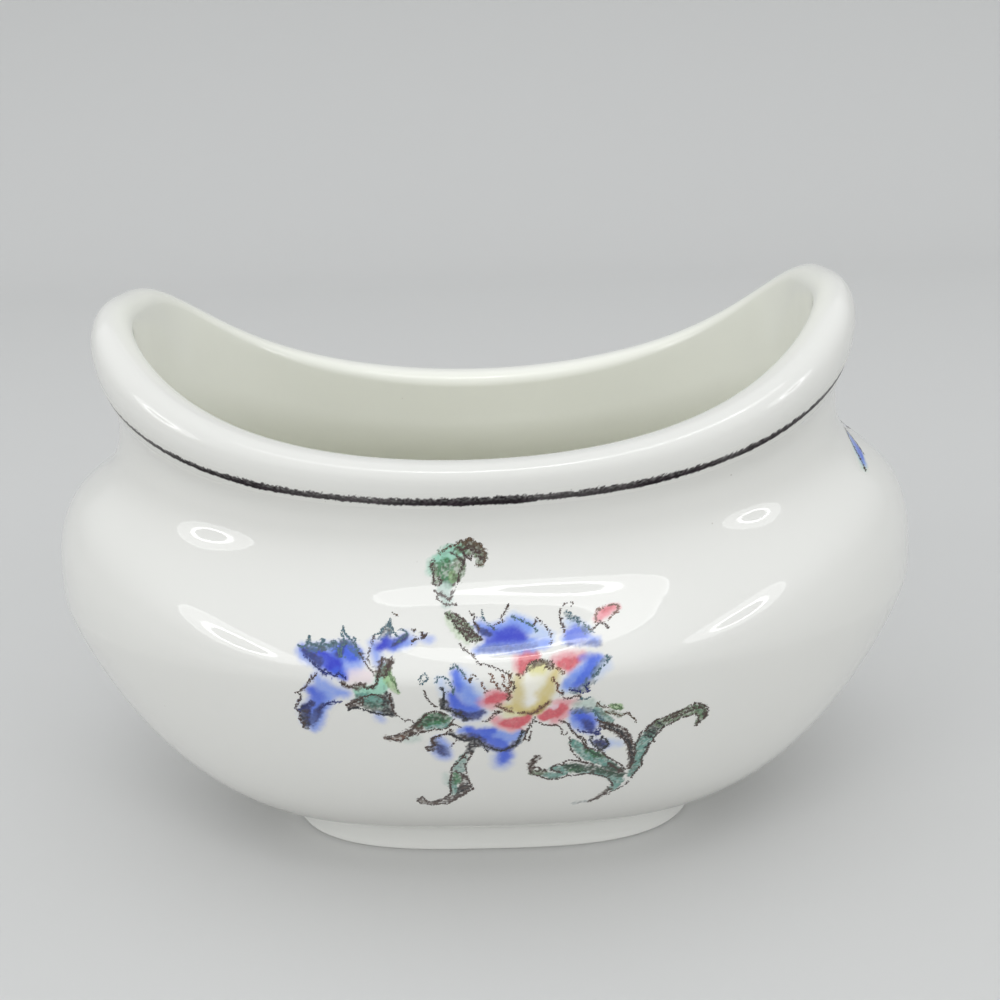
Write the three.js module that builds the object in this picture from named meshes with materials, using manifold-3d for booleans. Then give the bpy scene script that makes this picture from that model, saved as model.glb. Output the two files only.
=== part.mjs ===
// Oval open bowl of glazed white porcelain, boat-shaped: the lip sinks along the long sides and rises
// at both ends. A cast body, a thick rolled lip and a low foot ring are luted together; a dark line
// runs round under the lip, and flower sprays are painted on the walls in coloured enamels.
// Millimetres, +Z up, +X along the bowl. The origin is the middle of the face that the foot stands on.
import * as THREE from "three";
import { mergeVertices } from "three/addons/utils/BufferGeometryUtils.js";
import Module from "manifold-3d";

// Foot ring: outside size on the table, and how far it spreads up to the crease under the body
const footLength = 57.8;
const footWidth = 37.6;
const footHeight = 5.4;
const footSpread = 1.5;
const footWall = 3.4;
const footEdge = 0.6;
const footSquareness = 3;

// Belly: the widest line of the body
const bellyLength = 115;
const bellyWidth = 72;
const bellyHeight = 35;
const bellySquareness = 2;

// Neck: the waist under the lip, higher at the ends by neckRise
const neckLength = 91.5;
const neckWidth = 48.9;
const neckHeight = 49.5;
const neckRise = 11;
const neckSquareness = 2.8;

// Lip: outside size of the roll, height of its crest at mid length, and its rise at the ends. The
// crest lies at a share of the lip's thickness from its outside.
const lipLength = 94.1;
const lipWidth = 50.9;
const lipHeight = 56.6;
const lipRise = 16.8;
const lipThickness = 4.8;
const lipRoll = 2.2;
const lipCrestShare = 0.47;
const lipSquareness = 3.1;

// Walls, joints and painted layers
const wallThickness = 3.2;
const seamGap = 0.3;
const lineWidth = 0.9;
const lineDrop = 4.2;
const enamelGap = 0.2;
const enamelThickness = 0.25;

// Fineness of the faceted surfaces, of the search for a level and of the steps that slopes are taken on
const ringPoints = 60;
const hullRings = 9;
const shoulderRings = 8;
const flareRings = 3;
const lipRings = 4;
const layerCell = 2.2;
const profileSteps = 200;
const slopeShare = 0.01;
const normalStep = 0.05;
const nearEndShare = 0.999;
const halvings = 40;
const mergeReach = 1e-4;

// Curves of the profile: how far each stretch has gone out, or up, at its handles (0 start, 1 end).
// The shoulder lies flatter at mid length than at the tips of the bowl, so it has two upward curves.
const hullStartOutShare = 0.66;
const hullStartUpShare = 0.14;
const hullEndUpShare = 0.9;
const shoulderStartUpShare = 0.2;
const shoulderEndUpShare = 0.55;
const shoulderTipStartUpShare = 0.8;
const shoulderTipEndUpShare = 0.49;
const flareStartUpShare = 0.37;
const flareEndUpShare = 0.58;

// The rise of a ring from the middle of a long side (0) to the end (1) is shared by three powers
const riseSquareShare = 0.58;
const riseFourthShare = 0.16;
const riseSixthShare = 0.26;

// The middle of the printed spray lies this far below the belly line, along the wall. It is drawn for
// a wall that runs this far above its middle to the neck, and this far below it to the foot's crease.
const sprayDrop = 1.3;
const drawnAbove = 20.3772;
const drawnBelow = 33.3467;

const wasm = await Module();
wasm.setup();

const glazeMaterial = new THREE.MeshStandardMaterial({ color: 0xe4e4de, roughness: 0.12, metalness: 0 });
const footMaterial = new THREE.MeshStandardMaterial({ color: 0xd6d6cf, roughness: 0.3, metalness: 0 });
const lineMaterial = new THREE.MeshStandardMaterial({ color: 0x231c1a, roughness: 0.3, metalness: 0 });
const blueMaterial = new THREE.MeshStandardMaterial({ color: 0x3f5cc8, roughness: 0.2, metalness: 0 });
const pinkMaterial = new THREE.MeshStandardMaterial({ color: 0xd9737c, roughness: 0.2, metalness: 0 });
const yellowMaterial = new THREE.MeshStandardMaterial({ color: 0xdcc98a, roughness: 0.2, metalness: 0 });
const greenMaterial = new THREE.MeshStandardMaterial({ color: 0x4f7a63, roughness: 0.2, metalness: 0 });

// The height that a raised ring gains from the middle of the bowl (u = 0) to its end (u = 1)
function riseShare(u) {
  return riseSquareShare * u ** 2 + riseFourthShare * u ** 4 + riseSixthShare * u ** 6;
}

// A cubic curve from 0 to 1 with two handle values
function ease(h1, h2, t) {
  return 3 * (1 - t) ** 2 * t * h1 + 3 * (1 - t) * t * t * h2 + t ** 3;
}

const lerp = THREE.MathUtils.lerp;

// One oval level of the wall: half length a, half width b, height z at mid length, rise, squareness
function level(from, to, sideways, upward) {
  return {
    a: lerp(from.a, to.a, sideways),
    b: lerp(from.b, to.b, sideways),
    z: lerp(from.z, to.z, upward),
    rise: lerp(from.rise, to.rise, upward),
    n: lerp(from.n, to.n, sideways),
  };
}

const crease = {
  a: footLength / 2 + footSpread,
  b: footWidth / 2 + footSpread,
  z: footHeight,
  rise: 0,
  n: footSquareness,
};
const belly = { a: bellyLength / 2, b: bellyWidth / 2, z: bellyHeight, rise: 0, n: bellySquareness };
const neck = { a: neckLength / 2, b: neckWidth / 2, z: neckHeight, rise: neckRise, n: neckSquareness };
const lipSide = {
  a: lipLength / 2,
  b: lipWidth / 2,
  z: lipHeight - lipRoll,
  rise: lerp(neckRise, lipRise, (lipHeight - lipRoll - neckHeight) / (lipHeight - neckHeight)),
  n: lipSquareness,
};
const lipInside = {
  a: lipSide.a - lipThickness,
  b: lipSide.b - lipThickness,
  z: lipSide.z,
  rise: lipRise,
  n: lipSquareness,
};

// The outer wall at t: 0 the crease at the foot, 1 the belly, 2 the neck, 3 the side of the lip
function outer(t) {
  if (t <= 1) {
    const upward = ease(hullStartUpShare, hullEndUpShare, t);
    return level(crease, belly, ease(hullStartOutShare, 1, t), upward);
  }
  if (t <= 2) {
    const upward = ease(shoulderStartUpShare, shoulderEndUpShare, t - 1);
    const shoulder = level(belly, neck, ease(0, 1, t - 1), upward);
    const tipUpward = ease(shoulderTipStartUpShare, shoulderTipEndUpShare, t - 1);
    const tip = lerp(belly.z + belly.rise, neck.z + neck.rise, tipUpward);
    return { ...shoulder, rise: tip - shoulder.z };
  }
  return level(neck, lipSide, ease(0, 1, t - 2), ease(flareStartUpShare, flareEndUpShare, t - 2));
}

// The inner wall: the outer one set inwards by the wall's thickness, square to the profile,
// and above the neck a straight run up to the inside of the lip
function inner(t) {
  if (t > 2) {
    const neckInside = inner(2);
    return level(neckInside, lipInside, t - 2, t - 2);
  }
  const low = outer(Math.max(t - slopeShare, 0));
  const high = outer(Math.min(t + slopeShare, 2));
  const across = (high.a - low.a + high.b - low.b) / 2;
  const up = high.z - low.z;
  const long = Math.hypot(across, up);
  const here = outer(t);
  return {
    a: here.a - (wallThickness * up) / long,
    b: here.b - (wallThickness * up) / long,
    z: here.z + (wallThickness * across) / long,
    rise: here.rise,
    n: here.n,
  };
}

// The t of the dark line, which also covers the joint between the body and the lip
function flareAt(z) {
  let low = 2;
  let high = 3;
  for (let i = 0; i < halvings; i++) {
    const middle = (low + high) / 2;
    if (outer(middle).z < z) low = middle;
    else high = middle;
  }
  return low;
}
const lineT = flareAt(lipHeight - lineDrop);

// The points of one level, round the bowl
function ringOf(l) {
  const points = [];
  for (let i = 0; i < ringPoints; i++) {
    const angle = (2 * Math.PI * i) / ringPoints;
    const c = Math.cos(angle);
    const s = Math.sin(angle);
    const u = Math.abs(c) ** (2 / l.n);
    const v = Math.abs(s) ** (2 / l.n);
    const z = l.z + l.rise * riseShare(u);
    points.push(new THREE.Vector3(l.a * Math.sign(c) * u, l.b * Math.sign(s) * v, z));
  }
  return points;
}

// A closed skin over a list of rings: capped with flat discs at both ends, or joined end to start
function skin(rings, joined) {
  const n = ringPoints;
  const points = rings.flat();
  const index = [];
  const rows = joined ? rings.length : rings.length - 1;
  for (let r = 0; r < rows; r++) {
    for (let i = 0; i < n; i++) {
      const p = r * n + i;
      const q = r * n + ((i + 1) % n);
      const p2 = ((r + 1) % rings.length) * n + i;
      const q2 = ((r + 1) % rings.length) * n + ((i + 1) % n);
      index.push(p, q, q2, p, q2, p2);
    }
  }
  if (!joined) {
    const last = (rings.length - 1) * n;
    const bottom = points.push(new THREE.Vector3(0, 0, rings[0][0].z)) - 1;
    const top = points.push(new THREE.Vector3(0, 0, rings[rings.length - 1][0].z)) - 1;
    for (let i = 0; i < n; i++) {
      const j = (i + 1) % n;
      index.push(bottom, j, i);
      index.push(top, last + i, last + j);
    }
  }
  const geometry = new THREE.BufferGeometry().setFromPoints(points);
  geometry.setIndex(index);
  return geometry;
}

function lifted(l, dz) {
  return { ...l, z: l.z + dz };
}

function stations(from, to, count) {
  return Array.from({ length: count + 1 }, (_, i) => lerp(from, to, i / count));
}

// The body: outside from the foot's crease up past the neck, across the joint, and down the inside
function bodyShell() {
  const outsideTs = [...stations(0, 1, hullRings), ...stations(1, 2, shoulderRings).slice(1)];
  const insideTs = [...stations(2, 1, shoulderRings - 2), ...stations(1, 0, hullRings - 2).slice(1)];
  const neckTs = stations(2, lineT, flareRings).slice(1, -1);
  const levels = [
    ...outsideTs.map(outer),
    ...neckTs.map(outer),
    lifted(outer(lineT), -seamGap / 2),
    lifted(inner(lineT), -seamGap / 2),
    ...insideTs.map(inner),
  ];
  return skin(levels.map(ringOf), false);
}

// The rolled lip: flare, outer and inner round of the roll, and the short straight inside
function rolledLip() {
  const roundOut = lipThickness * lipCrestShare;
  const levels = [lifted(outer(lineT), seamGap / 2), outer((lineT + 3) / 2), lipSide];
  for (let i = 1; i <= 2 * lipRings; i++) {
    const angle = (Math.PI / 2) * (i / lipRings);
    const roundIn = (lipThickness - roundOut) * Math.sin(angle - Math.PI / 2);
    const inward = i <= lipRings ? roundOut * (1 - Math.cos(angle)) : roundOut + roundIn;
    const crest = lipRoll * Math.sin(angle);
    levels.push({
      a: lipSide.a - inward,
      b: lipSide.b - inward,
      z: lipSide.z + crest,
      rise: i <= lipRings ? lerp(lipSide.rise, lipRise, Math.sin(angle)) : lipRise,
      n: lipSquareness,
    });
  }
  levels.push(lifted(inner(lineT), seamGap / 2));
  return skin(levels.map(ringOf), true);
}

// The foot ring: it meets the crease under the body and stands on a flat edge
function footRing() {
  const outside = { a: footLength / 2, b: footWidth / 2, z: 0, rise: 0, n: footSquareness };
  const inwards = (d, z) => ({ ...outside, a: outside.a - d, b: outside.b - d, z });
  const levels = [
    inwards(footWall, footHeight - seamGap),
    inwards(footWall - footEdge / 2, footEdge),
    inwards(footWall - footEdge, 0),
    inwards(footEdge, 0),
    inwards(0, footEdge),
    { ...crease, z: footHeight - seamGap },
  ];
  return skin(levels.map(ringOf), true);
}

// The wall's profile at mid length, measured along its surface from the belly line: up is positive
const profile = stations(0, 2, 2 * profileSteps).map((t) => ({ t, run: 0 }));
for (let i = 1; i < profile.length; i++) {
  const p = outer(profile[i - 1].t);
  const q = outer(profile[i].t);
  profile[i].run = profile[i - 1].run + Math.hypot(q.b - p.b, q.z - p.z);
}
const bellyRun = profile[profileSteps].run;
const neckRun = profile[2 * profileSteps].run - bellyRun;

function levelAt(run) {
  const wanted = run + bellyRun;
  const i = Math.min(Math.max(profile.findIndex((p) => p.run > wanted), 1), profile.length - 1);
  const p = profile[i - 1];
  const q = profile[i];
  return outer(lerp(p.t, q.t, THREE.MathUtils.clamp((wanted - p.run) / (q.run - p.run), 0, 1)));
}

// A point of the front wall, by its place on the spray: right of the middle, and up along the wall
function frontPoint(x, up) {
  const stretch = up > 0 ? (neckRun + sprayDrop) / drawnAbove : (bellyRun - sprayDrop) / drawnBelow;
  const l = levelAt(up * stretch - sprayDrop);
  const u = Math.min(Math.abs(x) / l.a, nearEndShare);
  return new THREE.Vector3(x, -l.b * (1 - u ** l.n) ** (1 / l.n), l.z + l.rise * riseShare(u));
}

// A point of the right-hand end wall, by its distance behind the middle and up from the belly line
function endPoint(y, up) {
  const stretch = neckRun / (drawnAbove - sprayDrop);
  const l = levelAt(up * stretch);
  const v = Math.min(Math.abs(y) / l.b, nearEndShare);
  const u = (1 - v ** l.n) ** (1 / l.n);
  return new THREE.Vector3(l.a * u, y, l.z + l.rise * riseShare(u));
}

function solidFrom(geometry) {
  geometry.deleteAttribute("normal");
  geometry.deleteAttribute("uv");
  const merged = mergeVertices(geometry, mergeReach);
  return new wasm.Manifold(
    new wasm.Mesh({
      numProp: 3,
      vertProperties: merged.attributes.position.array,
      triVerts: new Uint32Array(merged.index.array),
    }),
  );
}

function geometryFrom(solid) {
  const mesh = solid.getMesh();
  const geometry = new THREE.BufferGeometry();
  geometry.setAttribute("position", new THREE.BufferAttribute(mesh.vertProperties, 3));
  geometry.setIndex(new THREE.BufferAttribute(mesh.triVerts, 1));
  return geometry;
}

// A thin layer over part of a wall, as thick as the enamel, that the motifs are cut from
function enamelLayer(pointAt, left, right, low, high) {
  const columns = Math.ceil((right - left) / layerCell);
  const rows = Math.ceil((high - low) / layerCell);
  const points = [];
  for (const height of [enamelGap, enamelGap + enamelThickness]) {
    for (let r = 0; r <= rows; r++) {
      for (let c = 0; c <= columns; c++) {
        const along = lerp(left, right, c / columns);
        const run = lerp(low, high, r / rows);
        const p = pointAt(along, run);
        const sideways = pointAt(along + normalStep, run).sub(pointAt(along - normalStep, run));
        const upwards = pointAt(along, run + normalStep).sub(pointAt(along, run - normalStep));
        const normal = sideways.cross(upwards).normalize();
        points.push(p.addScaledVector(normal, height));
      }
    }
  }
  const index = [];
  const side = (columns + 1) * (rows + 1);
  const at = (r, c, top) => r * (columns + 1) + c + (top ? side : 0);
  const quad = (a, b, c, d) => index.push(a, b, c, a, c, d);
  for (let r = 0; r < rows; r++) {
    for (let c = 0; c < columns; c++) {
      quad(at(r, c, true), at(r, c + 1, true), at(r + 1, c + 1, true), at(r + 1, c, true));
      quad(at(r, c, false), at(r + 1, c, false), at(r + 1, c + 1, false), at(r, c + 1, false));
    }
  }
  for (let c = 0; c < columns; c++) {
    quad(at(0, c, false), at(0, c + 1, false), at(0, c + 1, true), at(0, c, true));
    quad(at(rows, c + 1, false), at(rows, c, false), at(rows, c, true), at(rows, c + 1, true));
  }
  for (let r = 0; r < rows; r++) {
    quad(at(r + 1, 0, false), at(r, 0, false), at(r, 0, true), at(r + 1, 0, true));
    quad(at(r, columns, false), at(r + 1, columns, false), at(r + 1, columns, true), at(r, columns, true));
  }
  const geometry = new THREE.BufferGeometry().setFromPoints(points);
  geometry.setIndex(index);
  return solidFrom(geometry);
}

// A prism square to the wall's plane, whose outline is a smooth curve through [along, run] points
function cutter(pointAt, flatten, unflatten, outline) {
  const curve = new THREE.CatmullRomCurve3(
    outline.map(([along, run]) => new THREE.Vector3(along, run, 0)),
    true,
  );
  const samples = curve.getPoints(2 * outline.length).slice(0, -1);
  const shape = new THREE.Shape(samples.map((s) => flatten(pointAt(s.x, s.y))));
  const depth = Math.max(bellyLength, bellyWidth);
  const geometry = new THREE.ExtrudeGeometry(shape, { depth, bevelEnabled: false });
  return solidFrom(geometry.applyMatrix4(unflatten));
}

// The front wall is flattened along Y and the end wall along X
const frontFlat = (p) => new THREE.Vector2(p.x, p.z);
const frontUnflat = new THREE.Matrix4().makeRotationX(Math.PI / 2);
const endFlat = (p) => new THREE.Vector2(p.y, p.z);
const endUnflat = new THREE.Matrix4().set(0, 0, 1, 0, 1, 0, 0, 0, 0, 1, 0, 0, 0, 0, 0, 1);

// The flower spray of the front wall: each motif is one patch of enamel, [right, up] in millimetres
const sprayMotifs = [
  ["flower_heart", yellowMaterial,
    [[2.9, -1.7], [4.1, -0.4], [4.4, 1.2], [5.6, 2.1], [7.4, 2.5], [8.5, 1.6], [8.7, -0.4], [7.1, -1.4],
      [4.8, -2.1]]],
  ["pink_petal_left", pinkMaterial,
    [[0.8, -0.8], [1.7, 0.5], [3.4, 0.2], [3.6, -0.7], [2.5, -1.4], [1.2, -1.8]]],
  ["pink_petal_low_left", pinkMaterial,
    [[1.9, -3.4], [2.9, -2.5], [4.4, -2.7], [5.5, -3.2], [5.2, -4.6], [3.7, -5.1], [2.3, -4.6]]],
  ["pink_petal_low_right", pinkMaterial,
    [[6.1, -3.5], [7.3, -2.0], [8.9, -1.5], [9.7, -2.3], [9.0, -4.2], [7.6, -4.7]]],
  ["pink_petal_top_left", pinkMaterial,
    [[4.3, 4.0], [5.4, 4.5], [6.8, 4.1], [6.5, 3.0], [5.2, 2.7], [4.4, 2.8]]],
  ["pink_petal_top_right", pinkMaterial,
    [[8.1, 3.4], [9.8, 4.0], [10.9, 3.5], [10.1, 2.2], [9.2, 1.7], [8.8, 2.3]]],
  ["blue_petal_left", blueMaterial,
    [[-2.5, 3.0], [-1.4, 2.0], [-0.8, 0.2], [0.3, -1.2], [0.9, -2.6], [0.1, -3.6], [-1.6, -3.6],
      [-3.2, -2.6], [-3.9, -1.2], [-3.1, 0.8]]],
  ["blue_petal_top_left", blueMaterial,
    [[-0.1, 8.4], [0.8, 9.0], [1.9, 8.0], [3.0, 8.4], [3.9, 9.6], [5.3, 8.5], [6.6, 7.3], [8.3, 6.0],
      [8.7, 4.9], [5.5, 4.9], [3.5, 4.4], [0.3, 4.3], [1.2, 6.2]]],
  ["blue_petal_top_right", blueMaterial,
    [[10.2, 9.0], [11.1, 8.1], [12.0, 7.2], [13.0, 6.5], [13.6, 5.2], [11.9, 4.7], [9.9, 4.9], [9.7, 6.9]]],
  ["blue_petal_right", blueMaterial,
    [[13.0, 4.0], [14.2, 2.9], [13.5, 2.0], [12.0, 0.6], [10.8, -0.6], [9.5, -0.1], [9.4, 1.0], [10.6, 1.8],
      [11.4, 3.1]]],
  ["blue_petal_low_right", blueMaterial,
    [[10.2, -2.5], [11.4, -1.9], [12.7, -2.2], [13.5, -4.0], [12.7, -5.6], [11.3, -6.4], [10.1, -4.8]]],
  ["blue_petal_bottom", blueMaterial,
    [[-2.7, -5.3], [-0.2, -4.3], [1.5, -5.1], [3.4, -5.6], [5.2, -5.4], [4.5, -7.6], [3.4, -9.2],
      [2.4, -10.6], [1.5, -9.2], [0.7, -7.6], [-1.2, -6.7]]],
  ["blue_petal_low_left", blueMaterial,
    [[-5.2, -6.6], [-4.0, -6.0], [-3.0, -7.4], [-3.4, -9.2], [-4.6, -9.2], [-5.9, -8.0]]],
  ["pink_bud", pinkMaterial, [[13.2, 7.9], [13.6, 9.3], [15.0, 9.9], [16.0, 9.4], [15.3, 8.3], [14.2, 7.6]]],
  ["hooked_leaf", greenMaterial,
    [[0.4, 15.5], [1.2, 16.2], [1.2, 17.3], [0.4, 18.2], [-0.7, 18.6], [-2.2, 18.2], [-3.7, 17.4],
      [-4.8, 16.2], [-5.2, 14.8], [-5.1, 13.3], [-4.6, 11.7], [-3.8, 10.0], [-2.6, 8.4], [-1.4, 6.4],
      [-0.5, 6.8], [-1.1, 8.8], [-2.2, 11.2], [-2.3, 12.7], [-2.0, 14.1], [-1.4, 15.3], [-0.5, 16.0]]],
  ["left_leaf", greenMaterial,
    [[-10.3, -6.4], [-8.5, -5.5], [-6.8, -4.4], [-5.6, -3.0], [-4.4, -2.3], [-3.6, -3.4], [-3.4, -4.4],
      [-5.2, -4.9], [-6.8, -5.9], [-8.4, -6.7]]],
  ["low_leaf", greenMaterial,
    [[-1.3, -7.5], [-0.4, -8.0], [-1.4, -9.6], [-1.8, -11.2], [-1.9, -13.0], [-1.2, -14.7], [-1.4, -16.1],
      [-2.5, -17.3], [-4.2, -18.8], [-6.2, -19.8], [-8.1, -19.4], [-7.8, -18.2], [-6.2, -18.6], [-4.5, -17.5],
      [-4.0, -14.8], [-3.8, -12.3], [-2.8, -9.8]]],
  ["long_leaf", greenMaterial,
    [[16.8, -13.9], [17.3, -11.2], [18.3, -7.7], [20.1, -5.7], [22.2, -5.1], [24.0, -4.7], [25.3, -4.4],
      [26.2, -5.6], [25.8, -7.3], [24.8, -8.2], [25.0, -6.5], [23.9, -5.8], [22.1, -6.6], [20.3, -8.1],
      [19.3, -10.7], [18.4, -14.1], [17.5, -15.9]]],
  ["lying_leaf", greenMaterial,
    [[10.1, -8.0], [11.4, -8.0], [12.6, -9.5], [14.7, -11.7], [16.0, -13.8], [15.8, -15.1], [14.2, -13.8],
      [12.3, -12.0], [10.6, -10.0]]],
  ["scroll_leaf", greenMaterial,
    [[5.4, -11.3], [6.1, -12.9], [7.8, -13.3], [8.6, -11.9], [10.0, -11.3], [11.4, -12.2], [13.8, -14.5],
      [15.9, -15.9], [16.9, -16.6], [16.5, -18.1], [15.2, -19.0], [12.5, -20.2], [14.6, -17.9], [13.8, -16.5],
      [11.2, -15.1], [8.9, -14.8], [6.9, -14.2], [5.3, -12.7]]],
  ["side_bloom_top", blueMaterial,
    [[-19.7, 4.5], [-18.3, 5.2], [-16.9, 5.0], [-15.9, 5.1], [-14.7, 6.9], [-13.4, 5.9], [-12.7, 4.3],
      [-12.7, 2.6], [-13.8, 1.7], [-15.6, 1.7], [-17.3, 2.0], [-18.9, 2.9]]],
  ["side_bloom_low", blueMaterial,
    [[-17.4, 1.4], [-15.6, 1.1], [-15.3, 0.1], [-16.5, -1.4], [-17.3, -3.2], [-17.8, -4.9], [-18.8, -5.3],
      [-19.7, -4.3], [-20.0, -2.6], [-19.7, -0.9], [-18.9, 0.7]]],
  ["side_bud", blueMaterial,
    [[-11.4, 5.9], [-10.6, 7.7], [-9.7, 8.8], [-8.9, 7.7], [-7.7, 7.3], [-5.7, 6.8], [-5.0, 6.2], [-6.6, 5.4],
      [-8.8, 4.9], [-10.0, 4.4], [-10.9, 3.2]]],
  ["calyx_leaf", greenMaterial,
    [[-9.8, 4.0], [-8.9, 2.4], [-8.5, 0.5], [-9.1, -0.5], [-8.7, -2.2], [-9.8, -2.7], [-12.0, -2.4],
      [-13.8, -2.3], [-13.0, -0.9], [-14.5, 0.7], [-12.0, 0.4], [-10.9, 1.6]]],
];

// The strokes on the right-hand shoulder, just under the neck, [behind the middle, above the belly]
const endMotifs = [
  ["end_petal_front", blueMaterial,
    [[-11.3, 10.0], [-10.2, 11.2], [-7.6, 13.3], [-5.9, 14.1], [-6.3, 12.7], [-8.8, 10.8]]],
  ["end_petal_back", blueMaterial,
    [[-3.6, 14.1], [-1.8, 13.8], [1.4, 11.9], [3.2, 10.3], [1.6, 10.7], [-1.4, 12.5]]],
  ["end_leaf", greenMaterial,
    [[-2.2, 16.0], [0.6, 16.3], [4.2, 15.1], [5.8, 13.5], [3.4, 14.1], [0.4, 14.9]]],
];

function sprayPatches(prefix, motifs, pointAt, topRun, flatten, unflatten) {
  const alongs = motifs.flatMap(([, , outline]) => outline.map(([along]) => along));
  const runs = motifs.flatMap(([, , outline]) => outline.map(([, run]) => run));
  const highest = Math.min(Math.max(...runs) + layerCell / 2, topRun);
  const layer = enamelLayer(
    pointAt,
    Math.min(...alongs) - layerCell / 2,
    Math.max(...alongs) + layerCell / 2,
    Math.min(...runs) - layerCell / 2,
    highest,
  );
  const group = new THREE.Group();
  for (const [name, material, outline] of motifs) {
    const patch = layer.intersect(cutter(pointAt, flatten, unflatten, outline));
    const mesh = new THREE.Mesh(geometryFrom(patch), material);
    mesh.name = prefix + name;
    group.add(mesh);
  }
  return group;
}

// The dark line: a narrow band of enamel on the flare under the lip
function neckLine() {
  const flare = outer(lineT);
  const above = outer(flareAt(flare.z + lineWidth / 2));
  const below = outer(flareAt(flare.z - lineWidth / 2));
  const out = (l, d) => ({ ...l, a: l.a + d, b: l.b + d });
  const far = enamelGap + enamelThickness;
  const levels = [out(below, enamelGap), out(below, far), out(above, far), out(above, enamelGap)];
  return skin(levels.map(ringOf), true);
}

function part(name, geometry, material) {
  const mesh = new THREE.Mesh(geometry, material);
  mesh.name = name;
  return mesh;
}

const bowl = new THREE.Group();
bowl.add(part("body_shell", bodyShell(), glazeMaterial));
bowl.add(part("rolled_lip", rolledLip(), glazeMaterial));
bowl.add(part("foot_ring", footRing(), footMaterial));
bowl.add(part("neck_line", neckLine(), lineMaterial));
bowl.add(sprayPatches("front_", sprayMotifs, frontPoint, drawnAbove, frontFlat, frontUnflat));
bowl.add(sprayPatches("right_", endMotifs, endPoint, drawnAbove - sprayDrop, endFlat, endUnflat));

// The back wall carries the same spray, turned half round
const backSpray = sprayPatches("back_", sprayMotifs, frontPoint, drawnAbove, frontFlat, frontUnflat);
backSpray.rotation.z = Math.PI;
bowl.add(backSpray);

export default bowl;
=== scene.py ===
import math

import bpy
import numpy as np
from mathutils import Matrix, Vector


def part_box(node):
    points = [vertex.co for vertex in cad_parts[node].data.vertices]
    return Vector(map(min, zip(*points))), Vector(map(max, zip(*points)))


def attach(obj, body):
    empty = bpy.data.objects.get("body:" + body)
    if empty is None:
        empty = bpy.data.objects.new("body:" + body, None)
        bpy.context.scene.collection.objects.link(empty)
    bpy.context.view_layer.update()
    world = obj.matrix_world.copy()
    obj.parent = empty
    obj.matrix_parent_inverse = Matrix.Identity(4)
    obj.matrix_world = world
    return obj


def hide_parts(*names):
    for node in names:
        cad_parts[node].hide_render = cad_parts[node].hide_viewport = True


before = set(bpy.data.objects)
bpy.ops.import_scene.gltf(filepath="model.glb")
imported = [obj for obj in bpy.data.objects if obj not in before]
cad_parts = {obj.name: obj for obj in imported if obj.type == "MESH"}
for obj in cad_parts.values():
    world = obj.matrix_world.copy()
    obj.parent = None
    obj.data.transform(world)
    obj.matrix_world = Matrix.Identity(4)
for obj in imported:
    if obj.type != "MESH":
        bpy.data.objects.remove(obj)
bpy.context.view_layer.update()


# The body of the bowl
# A thin porcelain wall, cast in a plaster mould: a hull that swells from the foot to the belly, a
# shoulder that draws in to the neck, and a flare above it. White body under a clear, glossy glaze.
MM = 0.001
# Sizes are in millimetres, and curves go by handles and shares from 0 to 1
wall_thickness = 3.2
hull_out, hull_up = (0.66, 1.0), (0.14, 0.9)
shoulder_up, shoulder_tip_up = (0.2, 0.55), (0.8, 0.49)
flare_up = (0.37, 0.58)
rise_powers = ((2, 0.58), (4, 0.16), (6, 0.26))
belly_height = 35.0
belly_squareness = 2.0
neck_length, neck_width = 91.5, 48.9
neck_height, neck_rise = 49.5, 11.0
neck_squareness = 2.8
joint_drop = 4.2
joint_step, joint_margin = 0.004, 0.03
floor_dish = 0.35
glaze_white = (0.812, 0.808, 0.770)
# The grey of the glaze's cloudy tone, and of its painted shade
cloud_and_shade_grey = (0.36, 0.35, 0.31)
# Painted light: the inside of the bowl is painted this whiter, greener tone
inside_lit_white = (0.955, 0.960, 0.875)
speck_brown = (0.30, 0.25, 0.19)
glaze_index = 1.5
body_roughness, body_shine, coat_roughness = 0.35, 0.2, 0.025
cloud_scale, cloud_detail, cloud_depth = 55.0, 3.0, 0.07
speck_scale, speck_edge, speck_core = 150.0, 0.022, 0.012
ripple_scale, ripple_detail = 260.0, 2.0
ripple_strength, ripple_height = 0.5, 0.02
# Painted shade: how the glaze is greyed in the crease, under the hull and deep inside the bowl
crease_shade_reach, hull_shade, hull_shade_reach, hull_shade_power = 0.55, 0.35, 13.0, 4
inside_shade, inside_shade_low, inside_shade_high = 0.13, 37.0, 46.0

body_low, body_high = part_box("body_shell")
foot_low, foot_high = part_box("foot_ring")
lip_low, lip_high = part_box("rolled_lip")


def half_sizes(low, high):
    """Half the length and half the width of a CAD box, in millimetres."""
    return (high.x - low.x) / 2 / MM, (high.y - low.y) / 2 / MM


def oval(a, b, z, rise, squareness):
    """One level of the wall: half length, half width, height, rise at the ends, squareness."""
    return np.array([a, b, z, rise, squareness], float)


# The crease is where the foot meets the body; the side of the lip is its outermost line
crease_height = round(body_low.z / MM, 3)
foot_squareness = 3.0
lip_squareness = 3.1
lip_roll = 2.2
lip_height = 56.6
lip_rise = 16.8
side_height = lip_height - lip_roll
side_rise = neck_rise + (lip_rise - neck_rise) * (side_height - neck_height) / (lip_height - neck_height)
crease = oval(*half_sizes(foot_low, foot_high), crease_height, 0, foot_squareness)
belly = oval(*half_sizes(body_low, body_high), belly_height, 0, belly_squareness)
neck = oval(neck_length / 2, neck_width / 2, neck_height, neck_rise, neck_squareness)
lip_side = oval(*half_sizes(lip_low, lip_high), side_height, side_rise, lip_squareness)

lip_thickness = 4.8
lip_inside = lip_side - np.array([lip_thickness, lip_thickness, 0, 0, 0])
lip_inside[3] = lip_rise


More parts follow.
